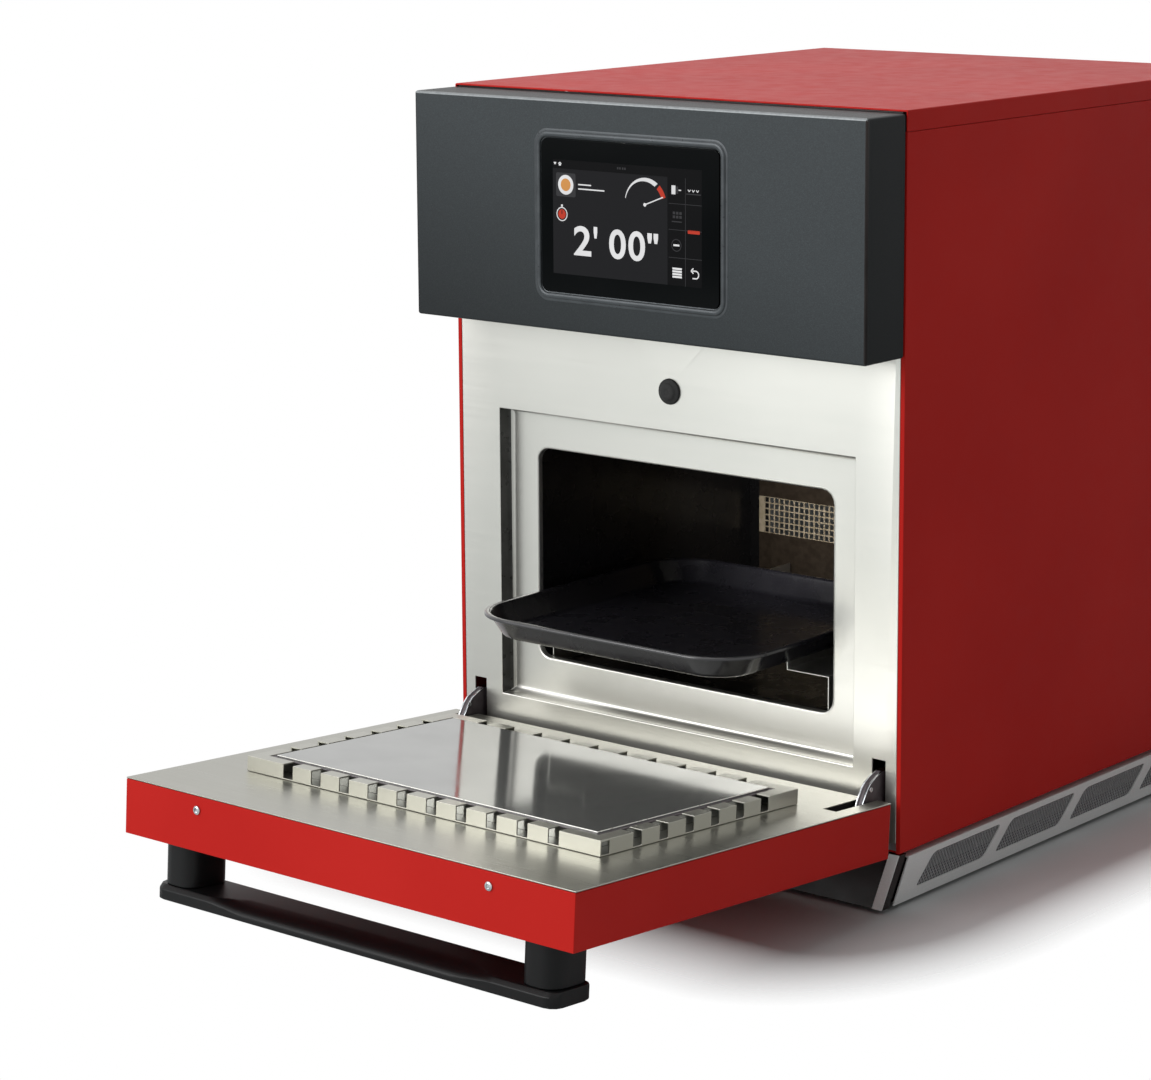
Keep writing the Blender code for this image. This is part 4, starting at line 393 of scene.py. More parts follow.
def modifier(piece, kind, **settings):
    only(piece)
    made = piece.modifiers.new(kind.lower(), kind)
    for name, value in settings.items():
        setattr(made, name, value)
    bpy.ops.object.modifier_apply(modifier=made.name)


def smoothed(piece, degrees=48):
    only(piece)
    bpy.ops.object.shade_smooth_by_angle(angle=math.radians(degrees))
    modifier(piece, "WEIGHTED_NORMAL", keep_sharp=True)


def softened(piece, width, segments=3):
    limit = math.radians(bevelAngle)
    modifier(piece, "BEVEL", width=width, segments=segments, limit_method="ANGLE", angle_limit=limit)
    smoothed(piece)


def settled(piece, name):  # place, turn and scale go into the mesh
    only(piece)
    bpy.ops.object.transform_apply(location=True, rotation=True, scale=True)
    piece.name = name
    piece.data.name = name
    return piece


def block(name, low, high):
    middle = [(a + b) / 2 for a, b in zip(low, high)]
    bpy.ops.object.select_all(action="DESELECT")
    bpy.ops.mesh.primitive_cube_add(size=1, location=middle, scale=[b - a for a, b in zip(low, high)])
    return settled(bpy.context.object, name)


def flat(name, middle, width, height, upright=False):  # a rectangle that lies, or stands facing forwards
    bpy.ops.object.select_all(action="DESELECT")
    turn = math.radians(90) if upright else 0
    bpy.ops.mesh.primitive_plane_add(size=1, location=middle, rotation=(turn, 0, 0))
    made = bpy.context.object
    made.scale = (width, height, 1)
    return settled(made, name)


def drawIn(steps):  # the picked faces step by step, each by a width and a height
    for thickness, depth in steps:
        bpy.ops.mesh.inset(thickness=thickness, depth=depth)


def rolled(piece, corner, segments, steps):  # rounds a rectangle's corners and draws its face in
    edit(piece)
    bpy.ops.mesh.bevel(offset=corner, segments=segments, affect="VERTICES")
    pick(piece, "FACE", lambda face: True)
    drawIn(steps)


def rod(name, start, end, radius, sides=24):
    start, end = Vector(start), Vector(end)
    turn = (end - start).to_track_quat("Z", "Y").to_euler()
    bpy.ops.object.select_all(action="DESELECT")
    bpy.ops.mesh.primitive_cylinder_add(
        vertices=sides, radius=radius, depth=(end - start).length,
        location=(start + end) / 2, rotation=turn,
    )
    return settled(bpy.context.object, name)


def joined(name, *parts):
    only(parts[0])
    for part in parts[1:]:
        part.select_set(True)
    bpy.ops.object.join()
    parts[0].name = name
    parts[0].data.name = name
    return parts[0]


def copied(master, name, seat=None):
    made = bpy.data.objects.new(name, master.data.copy())
    made.data.name = name
    bpy.context.collection.objects.link(made)
    if seat:
        made.data.transform(seat)
    return made


def extent(points):  # the lowest and the highest x, y and z of a list of points
    return [[choose(point[axis] for point in points) for axis in range(3)] for choose in (min, max)]


def painted(piece, finish, test):  # a second finish on the faces that the test picks
    piece.data.materials.append(finish)
    for face in piece.data.polygons:
        if test(face):
            face.material_index = len(piece.data.materials) - 1


def fitted(piece, body, slot, *stoodFor, finish=None):
    piece.data.materials.clear()
    piece.data.materials.append(finish or finishes[slot])
    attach(piece, body)
    if stoodFor:
        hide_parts(*stoodFor)
    return piece


# A node's own solid, merged and with the small round edges that real sheet and castings have.
def fineCopy(node, width, segments=3, folds=(), finish=None):
    piece = copied(nodes[node], node + "_fine")
    edit(piece)
    bpy.ops.mesh.customdata_custom_splitnormals_clear()
    bpy.ops.mesh.remove_doubles(threshold=weld)
    bpy.ops.mesh.select_all(action="SELECT")
    bpy.ops.mesh.dissolve_limited(angle_limit=math.radians(weldAngle))
    bpy.ops.mesh.vert_connect_concave()
    for test, foldWidth in folds:
        pick(piece, "EDGE", test)
        bpy.ops.mesh.bevel(offset=foldWidth, segments=foldSteps, affect="EDGES", clamp_overlap=True)
    leave()
    softened(piece, width, segments)
    return fitted(piece, nodes[node]["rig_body"], slotOf[node], node, finish=finish)


cabinet = {
    "half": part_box("top_cover")[1].x,
    "top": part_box("top_cover")[1].z,
    "low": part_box("side_panel_left")[0].z,
    "coverFold": 0.0022, "panelFold": 0.0012,
    "sheetEdge": 0.0003, "plateEdge": 0.00035, "plinthEdge": 0.0004, "hoodEdge": 0.0007,
    "jointShadeDepth": 0.004,
    "recessHalf": 0.180, "recessLow": 0.0625, "recessHigh": 0.306, "recessDepth": 0.014,
    "recessFold": 0.0009, "recessFillet": 0.0058, "filletTurn": 0.75,
    "openingHalf": 0.151, "openingLow": 0.0957, "openingHigh": 0.2747, "openingCorner": 0.012,
    "cornerSteps": 10, "lipStart": 0.0002, "lipSpread": 0.0012, "lipWall": 0.0006,
    "lipSteps": (
        (0.0008, -0.0001), (0.0006, -0.0004), (0.0004, -0.0007), (0.0002, -0.0010), (0.0001, -0.0028),
    ),
}
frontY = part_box("front_frame")[0].y
floorY = frontY + cabinet["recessDepth"]


def recessEdges(depthY):
    low, high = cabinet["low"] + cabinet["recessLow"], cabinet["low"] + cabinet["recessHigh"]
    sides = onLine(x=cabinet["recessHalf"], y=depthY)
    return anyOf(sides, onLine(y=depthY, z=low), onLine(y=depthY, z=high))


def forwards(face):  # it faces the front at least partly
    return face.normal.y < -slanted


def onSideOrTop(face):
    return abs(face.normal.x) > square or face.normal.z > square


def makeCabinet():
    half, top = cabinet["half"], cabinet["top"]
    fold, edge = cabinet["panelFold"], cabinet["sheetEdge"]
    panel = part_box("side_panel_left")
    fineCopy("top_cover", edge, folds=[(onLine(x=half, z=top), cabinet["coverFold"])])
    for side in ("left", "right"):
        folds = [
            (onLine(x=half, z=panel[0].z), fold), (onLine(x=half, z=panel[1].z), fold / 2),
            (onLine(x=half, y=panel[0].y), fold / 2),
        ]
        fineCopy("side_panel_" + side, edge, folds=folds)
        fineCopy("plinth_side_" + side, cabinet["plinthEdge"], 2)
    folds = [(recessEdges(floorY), cabinet["recessFillet"]), (recessEdges(frontY), cabinet["recessFold"])]
    plate = fineCopy("front_frame", cabinet["plateEdge"], folds=folds)
    # painted shade: the recess's side walls and the fillets beside them get a darker steel
    painted(plate, finishes["recess_wall_shade"], lambda face: abs(face.normal.x) > cabinet["filletTurn"]
            and face.center.y > frontY
            and abs(abs(face.center.x) - cabinet["recessHalf"]) < cabinet["recessFillet"])
    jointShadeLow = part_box("hood")[1].z - cabinet["jointShadeDepth"]
    edit(plate)
    bpy.ops.mesh.bisect(plane_co=(0, 0, jointShadeLow), plane_no=(0, 0, 1))  # where the painted shade of the joint starts
    leave()
    # painted shade: the steel above this line is black, where the slit under the cover lies in shade
    painted(plate, finishes["gloss_black_and_shade"], lambda face: face.center.z > jointShadeLow)
    hood = fineCopy("hood", cabinet["hoodEdge"])
    # painted shade: the hood's sides and top get the darker copy of its paint
    painted(hood, finishes["hood_painted_shade"], onSideOrTop)
    # painted shade: a dark line on the hood's front edges that turn to the sides
    painted(hood, finishes["gloss_black_and_shade"], lambda face: forwards(face) and abs(face.normal.x) > slanted)
    # painted highlight along the hood's upper front edge
    painted(hood, finishes["hood_painted_highlight"], lambda face: forwards(face) and face.normal.z > slanted)
    fineCopy("plinth_frame", edge, 2)


def makeOpeningLip():  # the rolled edge that turns from the recess into the chamber
    low, high = cabinet["low"] + cabinet["openingLow"], cabinet["low"] + cabinet["openingHigh"]
    spread = cabinet["lipSpread"]
    lip = flat(
        "opening_lip", (0, floorY - cabinet["lipStart"], (low + high) / 2),
        2 * (cabinet["openingHalf"] + spread), high - low + 2 * spread, upright=True,
    )
    rolled(lip, cabinet["openingCorner"] + spread, cabinet["cornerSteps"], cabinet["lipSteps"])
    bpy.ops.mesh.delete(type="FACE")
    leave()
    modifier(lip, "SOLIDIFY", thickness=cabinet["lipWall"], offset=-1, use_even_offset=True)
    smoothed(lip, degrees=60)
    fitted(lip, "cabinet", "brushed_steel")


makeCabinet()
makeOpeningLip()
print("cabinet")

# The door's own frame: x across, u from the hinge end to the free end, v down from the inner face.
door = {
    "tilt": 3.92, "inset": 0.0148, "middle": 0.0219, "length": 0.3775, "half": 0.2237, "thickness": 0.0438,
    "sheet": 0.0008, "rimDepth": 0.0005, "rounding": (0.2, 0.97),
    "skinEdge": 0.0006, "panelEdge": 0.00035, "chokeEdge": 0.0003, "plateEdge": 0.0008,
    "barEdge": 0.0009, "postEdge": 0.0008, "collarEdge": 0.00015,
    "groove": 0.0039, "collarGap": 0.0003, "collarSheet": 0.0006, "collarDrop": 0.0014,
    "screwX": 0.1457, "screwDrop": 0.0118,
}
screwHead = {
    "radius": 0.0034, "height": 0.0011,
    "steps": ((0.0004, 0.0004), (0.0005, 0.00022), (0.0005, 0.00008), (0.0002, 0.0), (0.0001, -0.0009)),
}
pinLow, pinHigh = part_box("hinge_pin_left")
hingeAxis = Vector((0, (pinLow.y + pinHigh.y) / 2, (pinLow.z + pinHigh.z) / 2))
doorSeat = Matrix.Translation(hingeAxis) @ Matrix.Rotation(math.radians(-door["tilt"]), 4, "X")
doorUp = doorSeat.to_3x3() @ Vector((0, 0, 1))


def onDoor(x, u, v):
    return doorSeat @ Vector((x, door["inset"] - u, door["middle"] - v))


def fromDoor(point):
    x, y, z = doorSeat.inverted() @ point
    return x, door["inset"] - y, door["middle"] - z


def insideDoor(face):  # the side of the painted sheet that faces the door's filling
    (x, u, v), sheet = fromDoor(face.center), door["sheet"]
    inLength = sheet < u < door["length"] - sheet
    return abs(x) < door["half"] - sheet and inLength and v < door["thickness"] - sheet


def hingeEnd(face):  # bare metal: the end that faces the cabinet
    return fromDoor(face.center)[1] < door["sheet"]


def doorRim(face):  # the sheet's cut edge round the steel panel
    return face.normal.dot(doorUp) > square and fromDoor(face.center)[2] < door["rimDepth"]


def makeScrewMaster():  # a button head with a round socket, facing up
    head = rod("screw_master", (0, 0, 0), (0, 0, screwHead["height"]), screwHead["radius"])
    edit(head)
    pick(head, "FACE", lambda face: face.normal.z > square)
    drawIn(screwHead["steps"])
    leave()
    smoothed(head, degrees=35)
    return head


def screw(number, place, facing, body):
    seat = Matrix.Translation(place) @ Vector(facing).to_track_quat("Z", "Y").to_matrix().to_4x4()
    fitted(copied(screwMaster, f"screw_{number:02d}", seat), body, "chrome")


def makeDoor():
    skin = fineCopy("door_skin", door["skinEdge"])
    # painted shade: the skin's inner side, seen through the slots, is darkened
    painted(skin, finishes["inside_painted_shade"], insideDoor)
    painted(skin, finishes["door_steel"], hingeEnd)
    painted(skin, finishes["edge_steel_and_highlight"], doorRim)
    fineCopy("door_inner_panel", door["panelEdge"], 2, finish=finishes["door_steel"])
    fineCopy("choke_frame", door["chokeEdge"], 2, finish=finishes["choke_steel"])
    plate = fineCopy("choke_plate", door["plateEdge"])
    least, most = door["rounding"]
    # painted highlight on the plate's rounded edges
    painted(plate, finishes["edge_steel_and_highlight"], lambda face: least < face.normal.dot(doorUp) < most)
    fineCopy("handle_bar", door["barEdge"])
    for side in ("left", "right"):
        fineCopy("handle_post_" + side, door["postEdge"])
    freeEnd = doorSeat.to_3x3() @ Vector((0, -1, 0))
    for number, side in enumerate((-1, 1)):
        place = onDoor(side * door["screwX"], door["length"], door["screwDrop"])
        screw(number, place, freeEnd, "door")


def makeChokeCollar():  # closes the groove between the teeth and the bright plate; its dark finish is painted shade for the groove
    low, high = extent([fromDoor(corner.co) for corner in nodes["choke_plate"].data.vertices])
    groove = door["groove"]
    collar = flat(
        "choke_collar", ((low[0] + high[0]) / 2, -(low[1] + high[1]) / 2, 0),
        high[0] - low[0] + 2 * groove, high[1] - low[1] + 2 * groove,
    )
    edit(collar)
    bpy.ops.mesh.inset(thickness=groove - door["collarGap"])
    bpy.ops.mesh.delete(type="FACE")
    leave()
    modifier(collar, "SOLIDIFY", thickness=door["collarSheet"], offset=-1)
    shift = Matrix.Translation((0, door["inset"], door["middle"] - low[2] - door["collarDrop"]))
    collar.data.transform(doorSeat @ shift)
    softened(collar, door["collarEdge"], 2)
    # painted shade: the collar is dark, as the groove it fills lies in shade
    fitted(collar, "door", "brushed_steel", finish=finishes["zinc_painted_shade"])


screwMaster = makeScrewMaster()
makeDoor()
makeChokeCollar()
print("door")

hinge = {
    "rivetPlaces": ((-0.019, 0.0527), (-0.0155, 0.0522)), "rivet": 0.0021, "rivetSides": 20,
    "rivetHeight": 0.0011, "rivetSink": 0.0002, "rivetEdge": 0.0007,
    "edge": 0.0006, "pinEdge": 0.0004, "channelEdge": 0.0003,
    "strand": 0.0012, "grooveWall": 0.0003, "grooveDepth": 0.0014, "grooveTurn": (0.1, -0.25, -0.2),
}


def makeHinges():
    for side, (y, z) in zip(("left", "right"), hinge["rivetPlaces"]):
        arm = fineCopy("hinge_arm_" + side, hinge["edge"])
        low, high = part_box("hinge_arm_" + side)
        middle = (low.x + high.x) / 2
        turn = hinge["grooveTurn"]
        edit(arm)
        pick(arm, "FACE", lambda face: abs(face.normal.x) < turn[0] and face.normal.y < turn[1]
             and face.normal.z > turn[2] and face.calc_center_median().z > hingeAxis.z)
        bpy.ops.mesh.inset(thickness=hinge["strand"])
        bpy.ops.mesh.inset(thickness=hinge["grooveWall"], depth=-hinge["grooveDepth"])
        leave()
        smoothed(arm)
        groove = (high.x - low.x) / 2 - hinge["edge"] - hinge["strand"]
        # painted shade and painted dark reflection: the arm's flat sides and the groove between its strands
        # are darkened
        painted(arm, finishes["zinc_painted_shade"], lambda face: abs(face.normal.x) > square
                or abs(face.center.x - middle) < groove / 2 and face.normal.y < turn[1])
        start = Vector((high.x - hinge["rivetSink"], frontY + y, cabinet["low"] + z))
        end = start + Vector((hinge["rivetHeight"], 0, 0))
        rivet = rod("hinge_rivet_" + side, start, end, hinge["rivet"], hinge["rivetSides"])
        softened(rivet, hinge["rivetEdge"])
        fitted(rivet, "cabinet", "chrome")
        fineCopy("hinge_pin_" + side, hinge["pinEdge"], 2)
        # painted shade inside the hinge channel
        fineCopy("hinge_channel_" + side, hinge["channelEdge"], 2, finish=finishes["inside_painted_shade"])


makeHinges()
print("hinges")

tray = {
    "wall": 0.0012, "corner": 0.048, "cornerSteps": 12, "lipDrop": 0.0026,
    "steps": (
        (0.00005, 0.0012), (0.0004, 0.0007), (0.0008, 0.0005), (0.0012, 0.0002), (0.0012, -0.0001),
        (0.0010, -0.0005), (0.0007, -0.0009), (0.0016, -0.0035), (0.0070, -0.0110), (0.0016, -0.0019),
        (0.0018, -0.0009), (0.0026, -0.0004),
    ),
}


def makeTray():  # from the rolled lip inwards and down to the flat bottom
    low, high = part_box("cooking_tray")
    middle = ((low.x + high.x) / 2, (low.y + high.y) / 2, high.z - tray["lipDrop"])
    pan = flat("tray_pan", middle, high.x - low.x, high.y - low.y)
    rolled(pan, tray["corner"], tray["cornerSteps"], tray["steps"])
    leave()
    modifier(pan, "SOLIDIFY", thickness=tray["wall"], offset=-1, use_even_offset=True)
    smoothed(pan, degrees=50)
    fitted(pan, "tray", "black_enamel", "cooking_tray", finish=finishes["tray_enamel"])


makeTray()
print("tray")

guard = {"pitch": 0.0055, "web": 0.0011, "rows": 6, "border": 0.006, "bandLow": 0.153}
chamber = {"supportEdge": 0.0004, "coverEdge": 0.0008}


def makeFanGuard():  # a band of square holes, with plain plate round it
    low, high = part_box("fan_guard")
    pitch = guard["pitch"]
    columns = int((high.x - low.x - guard["border"]) / pitch)
    bandLow = cabinet["low"] + guard["bandLow"]
    bandHigh = bandLow + guard["rows"] * pitch
    bpy.ops.object.select_all(action="DESELECT")
    bpy.ops.mesh.primitive_grid_add(
        x_subdivisions=columns, y_subdivisions=guard["rows"], size=1,
        location=(0, low.y, (bandLow + bandHigh) / 2), rotation=(math.radians(90), 0, 0),
    )
    plate = bpy.context.object
    plate.scale = (columns * pitch, guard["rows"] * pitch, 1)
    settled(plate, "fan_guard_grille")
    edit(plate)
    bpy.ops.mesh.inset(thickness=guard["web"] / 2, use_individual=True)
    bpy.ops.mesh.delete(type="FACE")
    halfBand = columns * pitch / 2
    for test, move in (
        (onLine(z=bandHigh), (0, 0, high.z - bandHigh)), (onLine(z=bandLow), (0, 0, low.z - bandLow)),
    ):
        pick(plate, "EDGE", test)
        bpy.ops.mesh.extrude_edges_move(TRANSFORM_OT_translate={"value": move})
    for side in (-1, 1):
        pick(plate, "EDGE", lambda edge: all(abs(end.co.x - side * halfBand) < same for end in edge.verts))
        move = (side * (high.x - halfBand), 0, 0)
        bpy.ops.mesh.extrude_edges_move(TRANSFORM_OT_translate={"value": move})
    leave()
    modifier(plate, "SOLIDIFY", thickness=high.y - low.y, offset=-1)
    fitted(plate, "cabinet", "black_enamel", "fan_guard", finish=finishes["guard_steel"])
    painted(plate, finishes["guard_plate"], lambda face: not bandLow < face.center.z < bandHigh)


makeFanGuard()
for side in ("left", "right"):
    fineCopy("rack_support_" + side, chamber["supportEdge"], 2)
fineCopy("stirrer_cover", chamber["coverEdge"])
print("chamber")

mesh = {
    "halfWidth": 0.0019, "halfHeight": 0.00265, "strand": 0.00046, "thickness": 0.0006,
    "lean": 0.008, "leanHeight": 0.0394,
}


def makeDiamondMesh(side, sign):  # one diamond, repeated along and up, and once more in between
    node = "plinth_mesh_" + side
    low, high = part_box(node)
    across, up = 2 * mesh["halfWidth"], 2 * mesh["halfHeight"]
    slope = math.atan2(mesh["lean"], mesh["leanHeight"])
    height = (high.z - low.z) / math.cos(slope)
    columns, rows = int((high.y - low.y) / across), int(height / up)
    parts = []
    for shift in (0, 1):
        bpy.ops.object.select_all(action="DESELECT")
        bpy.ops.mesh.primitive_circle_add(vertices=4, radius=1, fill_type="NGON")
        one = bpy.context.object
        one.scale = (mesh["halfWidth"], mesh["halfHeight"], 1)
        settled(one, "diamond")
        edit(one)
        bpy.ops.mesh.inset(thickness=mesh["strand"])
        bpy.ops.mesh.delete(type="FACE")
        leave()
        for count, step in ((columns, (across, 0, 0)), (rows, (0, up, 0))):
            modifier(
                one, "ARRAY", count=count - shift, use_relative_offset=False, use_constant_offset=True,
                constant_offset_displace=step,
            )
        one.data.transform(Matrix.Translation((shift * across / 2, shift * up / 2, 0)))
        parts.append(one)
    sheet = joined("mesh_" + side, *parts)
    edit(sheet)
    bpy.ops.mesh.remove_doubles(threshold=2 * weld)
    leave()
    modifier(sheet, "SOLIDIFY", thickness=mesh["thickness"], offset=0)
    middle = Vector(((columns - 1) * across / 2, (rows - 1) * up / 2, 0))
    upright = Matrix(((0, 0, 1, 0), (1, 0, 0, 0), (0, 1, 0, 0), (0, 0, 0, 1)))  # columns along y, rows up
    lean = Matrix.Rotation(sign * slope, 4, "Y")
    seat = Matrix.Translation((low + high) / 2)
    sheet.data.transform(seat @ lean @ upright @ Matrix.Translation(-middle))
    fitted(sheet, "cabinet", "galvanised_steel", node, finish=finishes["mesh_steel"])


for side, sign in (("left", -1), ("right", 1)):
    makeDiamondMesh(side, sign)

plinth = {
    "stripWidth": 0.0095, "stripThickness": 0.0007, "stripInset": 0.0002, "stripEdge": 0.00025,
    "lean": 0.0115, "slope": 0.008, "panelEdge": 0.0003, "footEdge": 0.0004,
}


def makePlinthStrips():  # the pale end strip of the front panel, which leans and tapers with it
    low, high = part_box("front_plinth")
    outer = high.x - plinth["stripInset"]
    for side, sign in (("left", -1), ("right", 1)):
        left, right = sorted((sign * outer, sign * (outer - plinth["stripWidth"])))
        strip = block(
            "plinth_strip_" + side, (left, low.y - plinth["stripThickness"], low.z), (right, low.y, high.z),
        )
        edit(strip)
        pick(strip, "VERT", lambda end: end.co.z > (low.z + high.z) / 2)
        bpy.ops.transform.translate(value=(0, plinth["lean"], 0))
        pick(strip, "VERT", lambda end: end.co.z < (low.z + high.z) / 2)
        bpy.ops.transform.translate(value=(-sign * plinth["slope"], 0, 0))
        leave()
        softened(strip, plinth["stripEdge"], 2)
        fitted(strip, "cabinet", "grey_paint")


makePlinthStrips()
fineCopy("front_plinth", plinth["panelEdge"], 2, finish=finishes["gloss_black_and_shade"])
for corner in ("front_left", "front_right", "rear_left", "rear_right"):
    fineCopy("foot_" + corner, plinth["footEdge"], 2)
print("plinth")

buffer = {
    "radius": 0.0105, "sides": 48, "seat": 0.0003, "rim": 0.0004,
    "steps": (
        (0.0003, 0.0010), (0.0006, 0.0005), (0.0022, 0.0006), (0.0004, 0.0007), (0.0012, 0.0007),
        (0.0020, 0.0003), (0.0012, -0.0003), (0.0008, -0.0004),
    ),
}


def makeBuffer():  # a rubber button with a stepped, hollow front
    low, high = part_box("door_buffer")
    middle = Vector(((low.x + high.x) / 2, frontY - buffer["seat"], (low.z + high.z) / 2))
    rim = middle - Vector((0, buffer["rim"], 0))
    stop = rod("buffer_cap", middle, rim, buffer["radius"], buffer["sides"])
    edit(stop)
    pick(stop, "FACE", lambda face: face.normal.y < -square)
    drawIn(buffer["steps"])
    leave()
    smoothed(stop, degrees=60)
    fitted(stop, "cabinet", "rubber", "door_buffer")


bezel = {
    "corner": 0.0135, "cornerSteps": 14, "wall": 0.0006, "glassGap": 0.0002, "glassDrop": 0.0002,
    "glassEdge": 0.0004,
    "steps": (
        (0.0002, 0.0003), (0.0018, 0.0), (0.0002, 0.0004), (0.0004, 0.0005), (0.0007, 0.0003),
        (0.0010, 0.0001), (0.0010, -0.0001), (0.0007, -0.0003), (0.0004, -0.0005), (0.0002, -0.0009),
    ),
}


def makeScreenFrame():  # a flat rim, then a round bead that stands up round the glass
    low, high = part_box("bezel")
    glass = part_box("touch_glass")
    ring = flat(
        "screen_frame", (0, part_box("hood")[0].y, (low.z + high.z) / 2), high.x - low.x, high.z - low.z,
        upright=True,
    )
    rolled(ring, bezel["corner"], bezel["cornerSteps"], bezel["steps"])
    reach = high.x - glass[1].x - sum(thickness for thickness, depth in bezel["steps"]) - bezel["glassGap"]
    drawIn([(reach, -bezel["glassDrop"])])
    bpy.ops.mesh.delete(type="FACE")
    leave()
    modifier(ring, "SOLIDIFY", thickness=bezel["wall"], offset=-1, use_even_offset=True)
    smoothed(ring, degrees=60)
    fitted(ring, "cabinet", "anthracite_paint", "bezel", finish=finishes["bezel_satin"])
    fineCopy("touch_glass", bezel["glassEdge"])


makeBuffer()
makeScreenFrame()
print("hood")

# What the display shows, in metres from the middle and from the side panels' lowest edge, in layers that
# start a hair in front of the glass.
display = {
    "back": 0.00003, "step": 0.00007, "cornerSteps": 5, "discSides": 32, "ringSides": 120,
    "digitWeight": 0.018, "digitCurve": 6,
    "areas": (  # finish, layer, left, right, bottom, top
        ("dark", 0, -0.0763, 0.0721, 0.4332, 0.5235),
        ("panel", 1, -0.0763, 0.0388, 0.4332, 0.5165),
        ("line", 1, 0.0400, 0.0721, 0.4962, 0.4966),
        ("line", 1, 0.0400, 0.0721, 0.4761, 0.4765),
        ("line", 1, 0.0400, 0.0721, 0.4545, 0.4549),
        ("line", 1, 0.0561, 0.0565, 0.4332, 0.5165),
        ("white", 1, -0.0700, -0.0680, 0.5188, 0.5203),
        ("line", 1, -0.0110, -0.0096, 0.5194, 0.5211),
        ("line", 1, -0.0088, -0.0074, 0.5194, 0.5211),
        ("line", 1, -0.0060, -0.0046, 0.5194, 0.5211),
        ("line", 1, -0.0038, -0.0024, 0.5194, 0.5211),
        ("white", 2, -0.0503, -0.0372, 0.5045, 0.5055),
        ("white", 2, -0.0503, -0.0238, 0.5011, 0.5021),
        ("white", 2, -0.0680, -0.0662, 0.4864, 0.4882),
        ("white", 1, 0.0428, 0.0466, 0.5036, 0.5104),
        ("line", 1, 0.0470, 0.0492, 0.5042, 0.5098),
        ("line", 1, 0.0572, 0.0712, 0.5042, 0.5050),
        ("line", 1, 0.0440, 0.0463, 0.4852, 0.4873),
        ("line", 1, 0.0440, 0.0463, 0.4882, 0.4903),
        ("line", 1, 0.0472, 0.0495, 0.4852, 0.4873),
        ("line", 1, 0.0472, 0.0495, 0.4882, 0.4903),
        ("line", 1, 0.0504, 0.0527, 0.4852, 0.4873),
        ("line", 1, 0.0504, 0.0527, 0.4882, 0.4903),
        ("line", 1, 0.0430, 0.0527, 0.4822, 0.4830),
        ("white", 1, 0.0446, 0.0504, 0.4637, 0.4651),
        ("white", 1, 0.0436, 0.0527, 0.4392, 0.4407),
        ("white", 1, 0.0436, 0.0527, 0.4413, 0.4428),
        ("white", 1, 0.0436, 0.0527, 0.4434, 0.4449),
        ("white", 1, 0.0436, 0.0527, 0.4455, 0.4470),
    ),
    "roundAreas": (  # as the areas, with a corner radius
        ("line", 2, -0.0729, -0.0530, 0.4946, 0.5133, 0.0015),
        ("red", 1, 0.0586, 0.0702, 0.4742, 0.4768, 0.0006),
    ),
    "strokes": (  # finish, layer, start, end, width
        ("white", 1, (-0.0752, 0.5209), (-0.0728, 0.5209), 0.0009),
        ("white", 1, (-0.0746, 0.5200), (-0.0734, 0.5200), 0.0008),
        ("white", 1, (-0.0705, 0.5203), (-0.0690, 0.5214), 0.0007),
        ("white", 1, (-0.0690, 0.5214), (-0.0675, 0.5203), 0.0007),
        ("white", 3, (0.0166, 0.4936), (0.0345, 0.5005), 0.0009),
        ("panel", 3, (-0.0671, 0.4806), (-0.0671, 0.4836), 0.0008),
        ("white", 1, (0.0497, 0.5070), (0.0521, 0.5070), 0.0009),
        ("white", 1, (0.0588, 0.5080), (0.0600, 0.5064), 0.0006),
        ("white", 1, (0.0600, 0.5064), (0.0612, 0.5080), 0.0006),
        ("white", 1, (0.0628, 0.5080), (0.0640, 0.5064), 0.0006),
        ("white", 1, (0.0640, 0.5064), (0.0652, 0.5080), 0.0006),
        ("white", 1, (0.0668, 0.5080), (0.0680, 0.5064), 0.0006),
        ("white", 1, (0.0680, 0.5064), (0.0692, 0.5080), 0.0006),
        ("white", 1, (0.0632, 0.4458), (0.0663, 0.4458), 0.0010),
        ("white", 1, (0.0632, 0.4400), (0.0663, 0.4400), 0.0010),
        ("white", 1, (0.0640, 0.4478), (0.0618, 0.4458), 0.0010),
        ("white", 1, (0.0618, 0.4458), (0.0640, 0.4438), 0.0010),
    ),
    "discs": (  # finish, layer, x, z, radius
        ("white", 3, -0.0630, 0.5040, 0.0078),
        ("amber", 4, -0.0630, 0.5040, 0.0050),
        ("white", 3, 0.0166, 0.4936, 0.0014),
        ("red", 2, -0.0671, 0.4806, 0.0038),
    ),
    "bands": (  # finish, layer, middle, radius, first and last degree, inner edge's share and shift
        ("white", 2, (0.0172, 0.4940), 0.0205, 52, 168, 0.89, (-0.0018, -0.0005)),
        ("red", 2, (0.0172, 0.4940), 0.0208, 17, 50, 0.80),
        ("white", 2, (-0.0671, 0.4806), 0.0056, 0, 360, 0.86),
        ("line", 1, (0.0475, 0.4644), 0.0048, 0, 360, 0.88),
        ("white", 1, (0.0662, 0.4429), 0.0034, 0, 90, 0.72),
        ("white", 1, (0.0662, 0.4429), 0.0034, 270, 360, 0.72),
    ),
    "digits": (  # letter, left, right, bottom, top
        ("2", -0.0551, -0.0374, 0.4490, 0.4725), ("'", -0.0348, -0.0312, 0.4637, 0.4728),
        ("0", -0.0192, -0.0025, 0.4490, 0.4725), ("0", 0.0001, 0.0167, 0.4490, 0.4725),
        ('"', 0.0190, 0.0296, 0.4639, 0.4718),
    ),
}
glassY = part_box("touch_glass")[0].y
lit = {tone: [] for tone in litTones}


def layerY(layer):  # each layer lies on the one behind it
    return glassY - display["back"] - layer * display["step"]


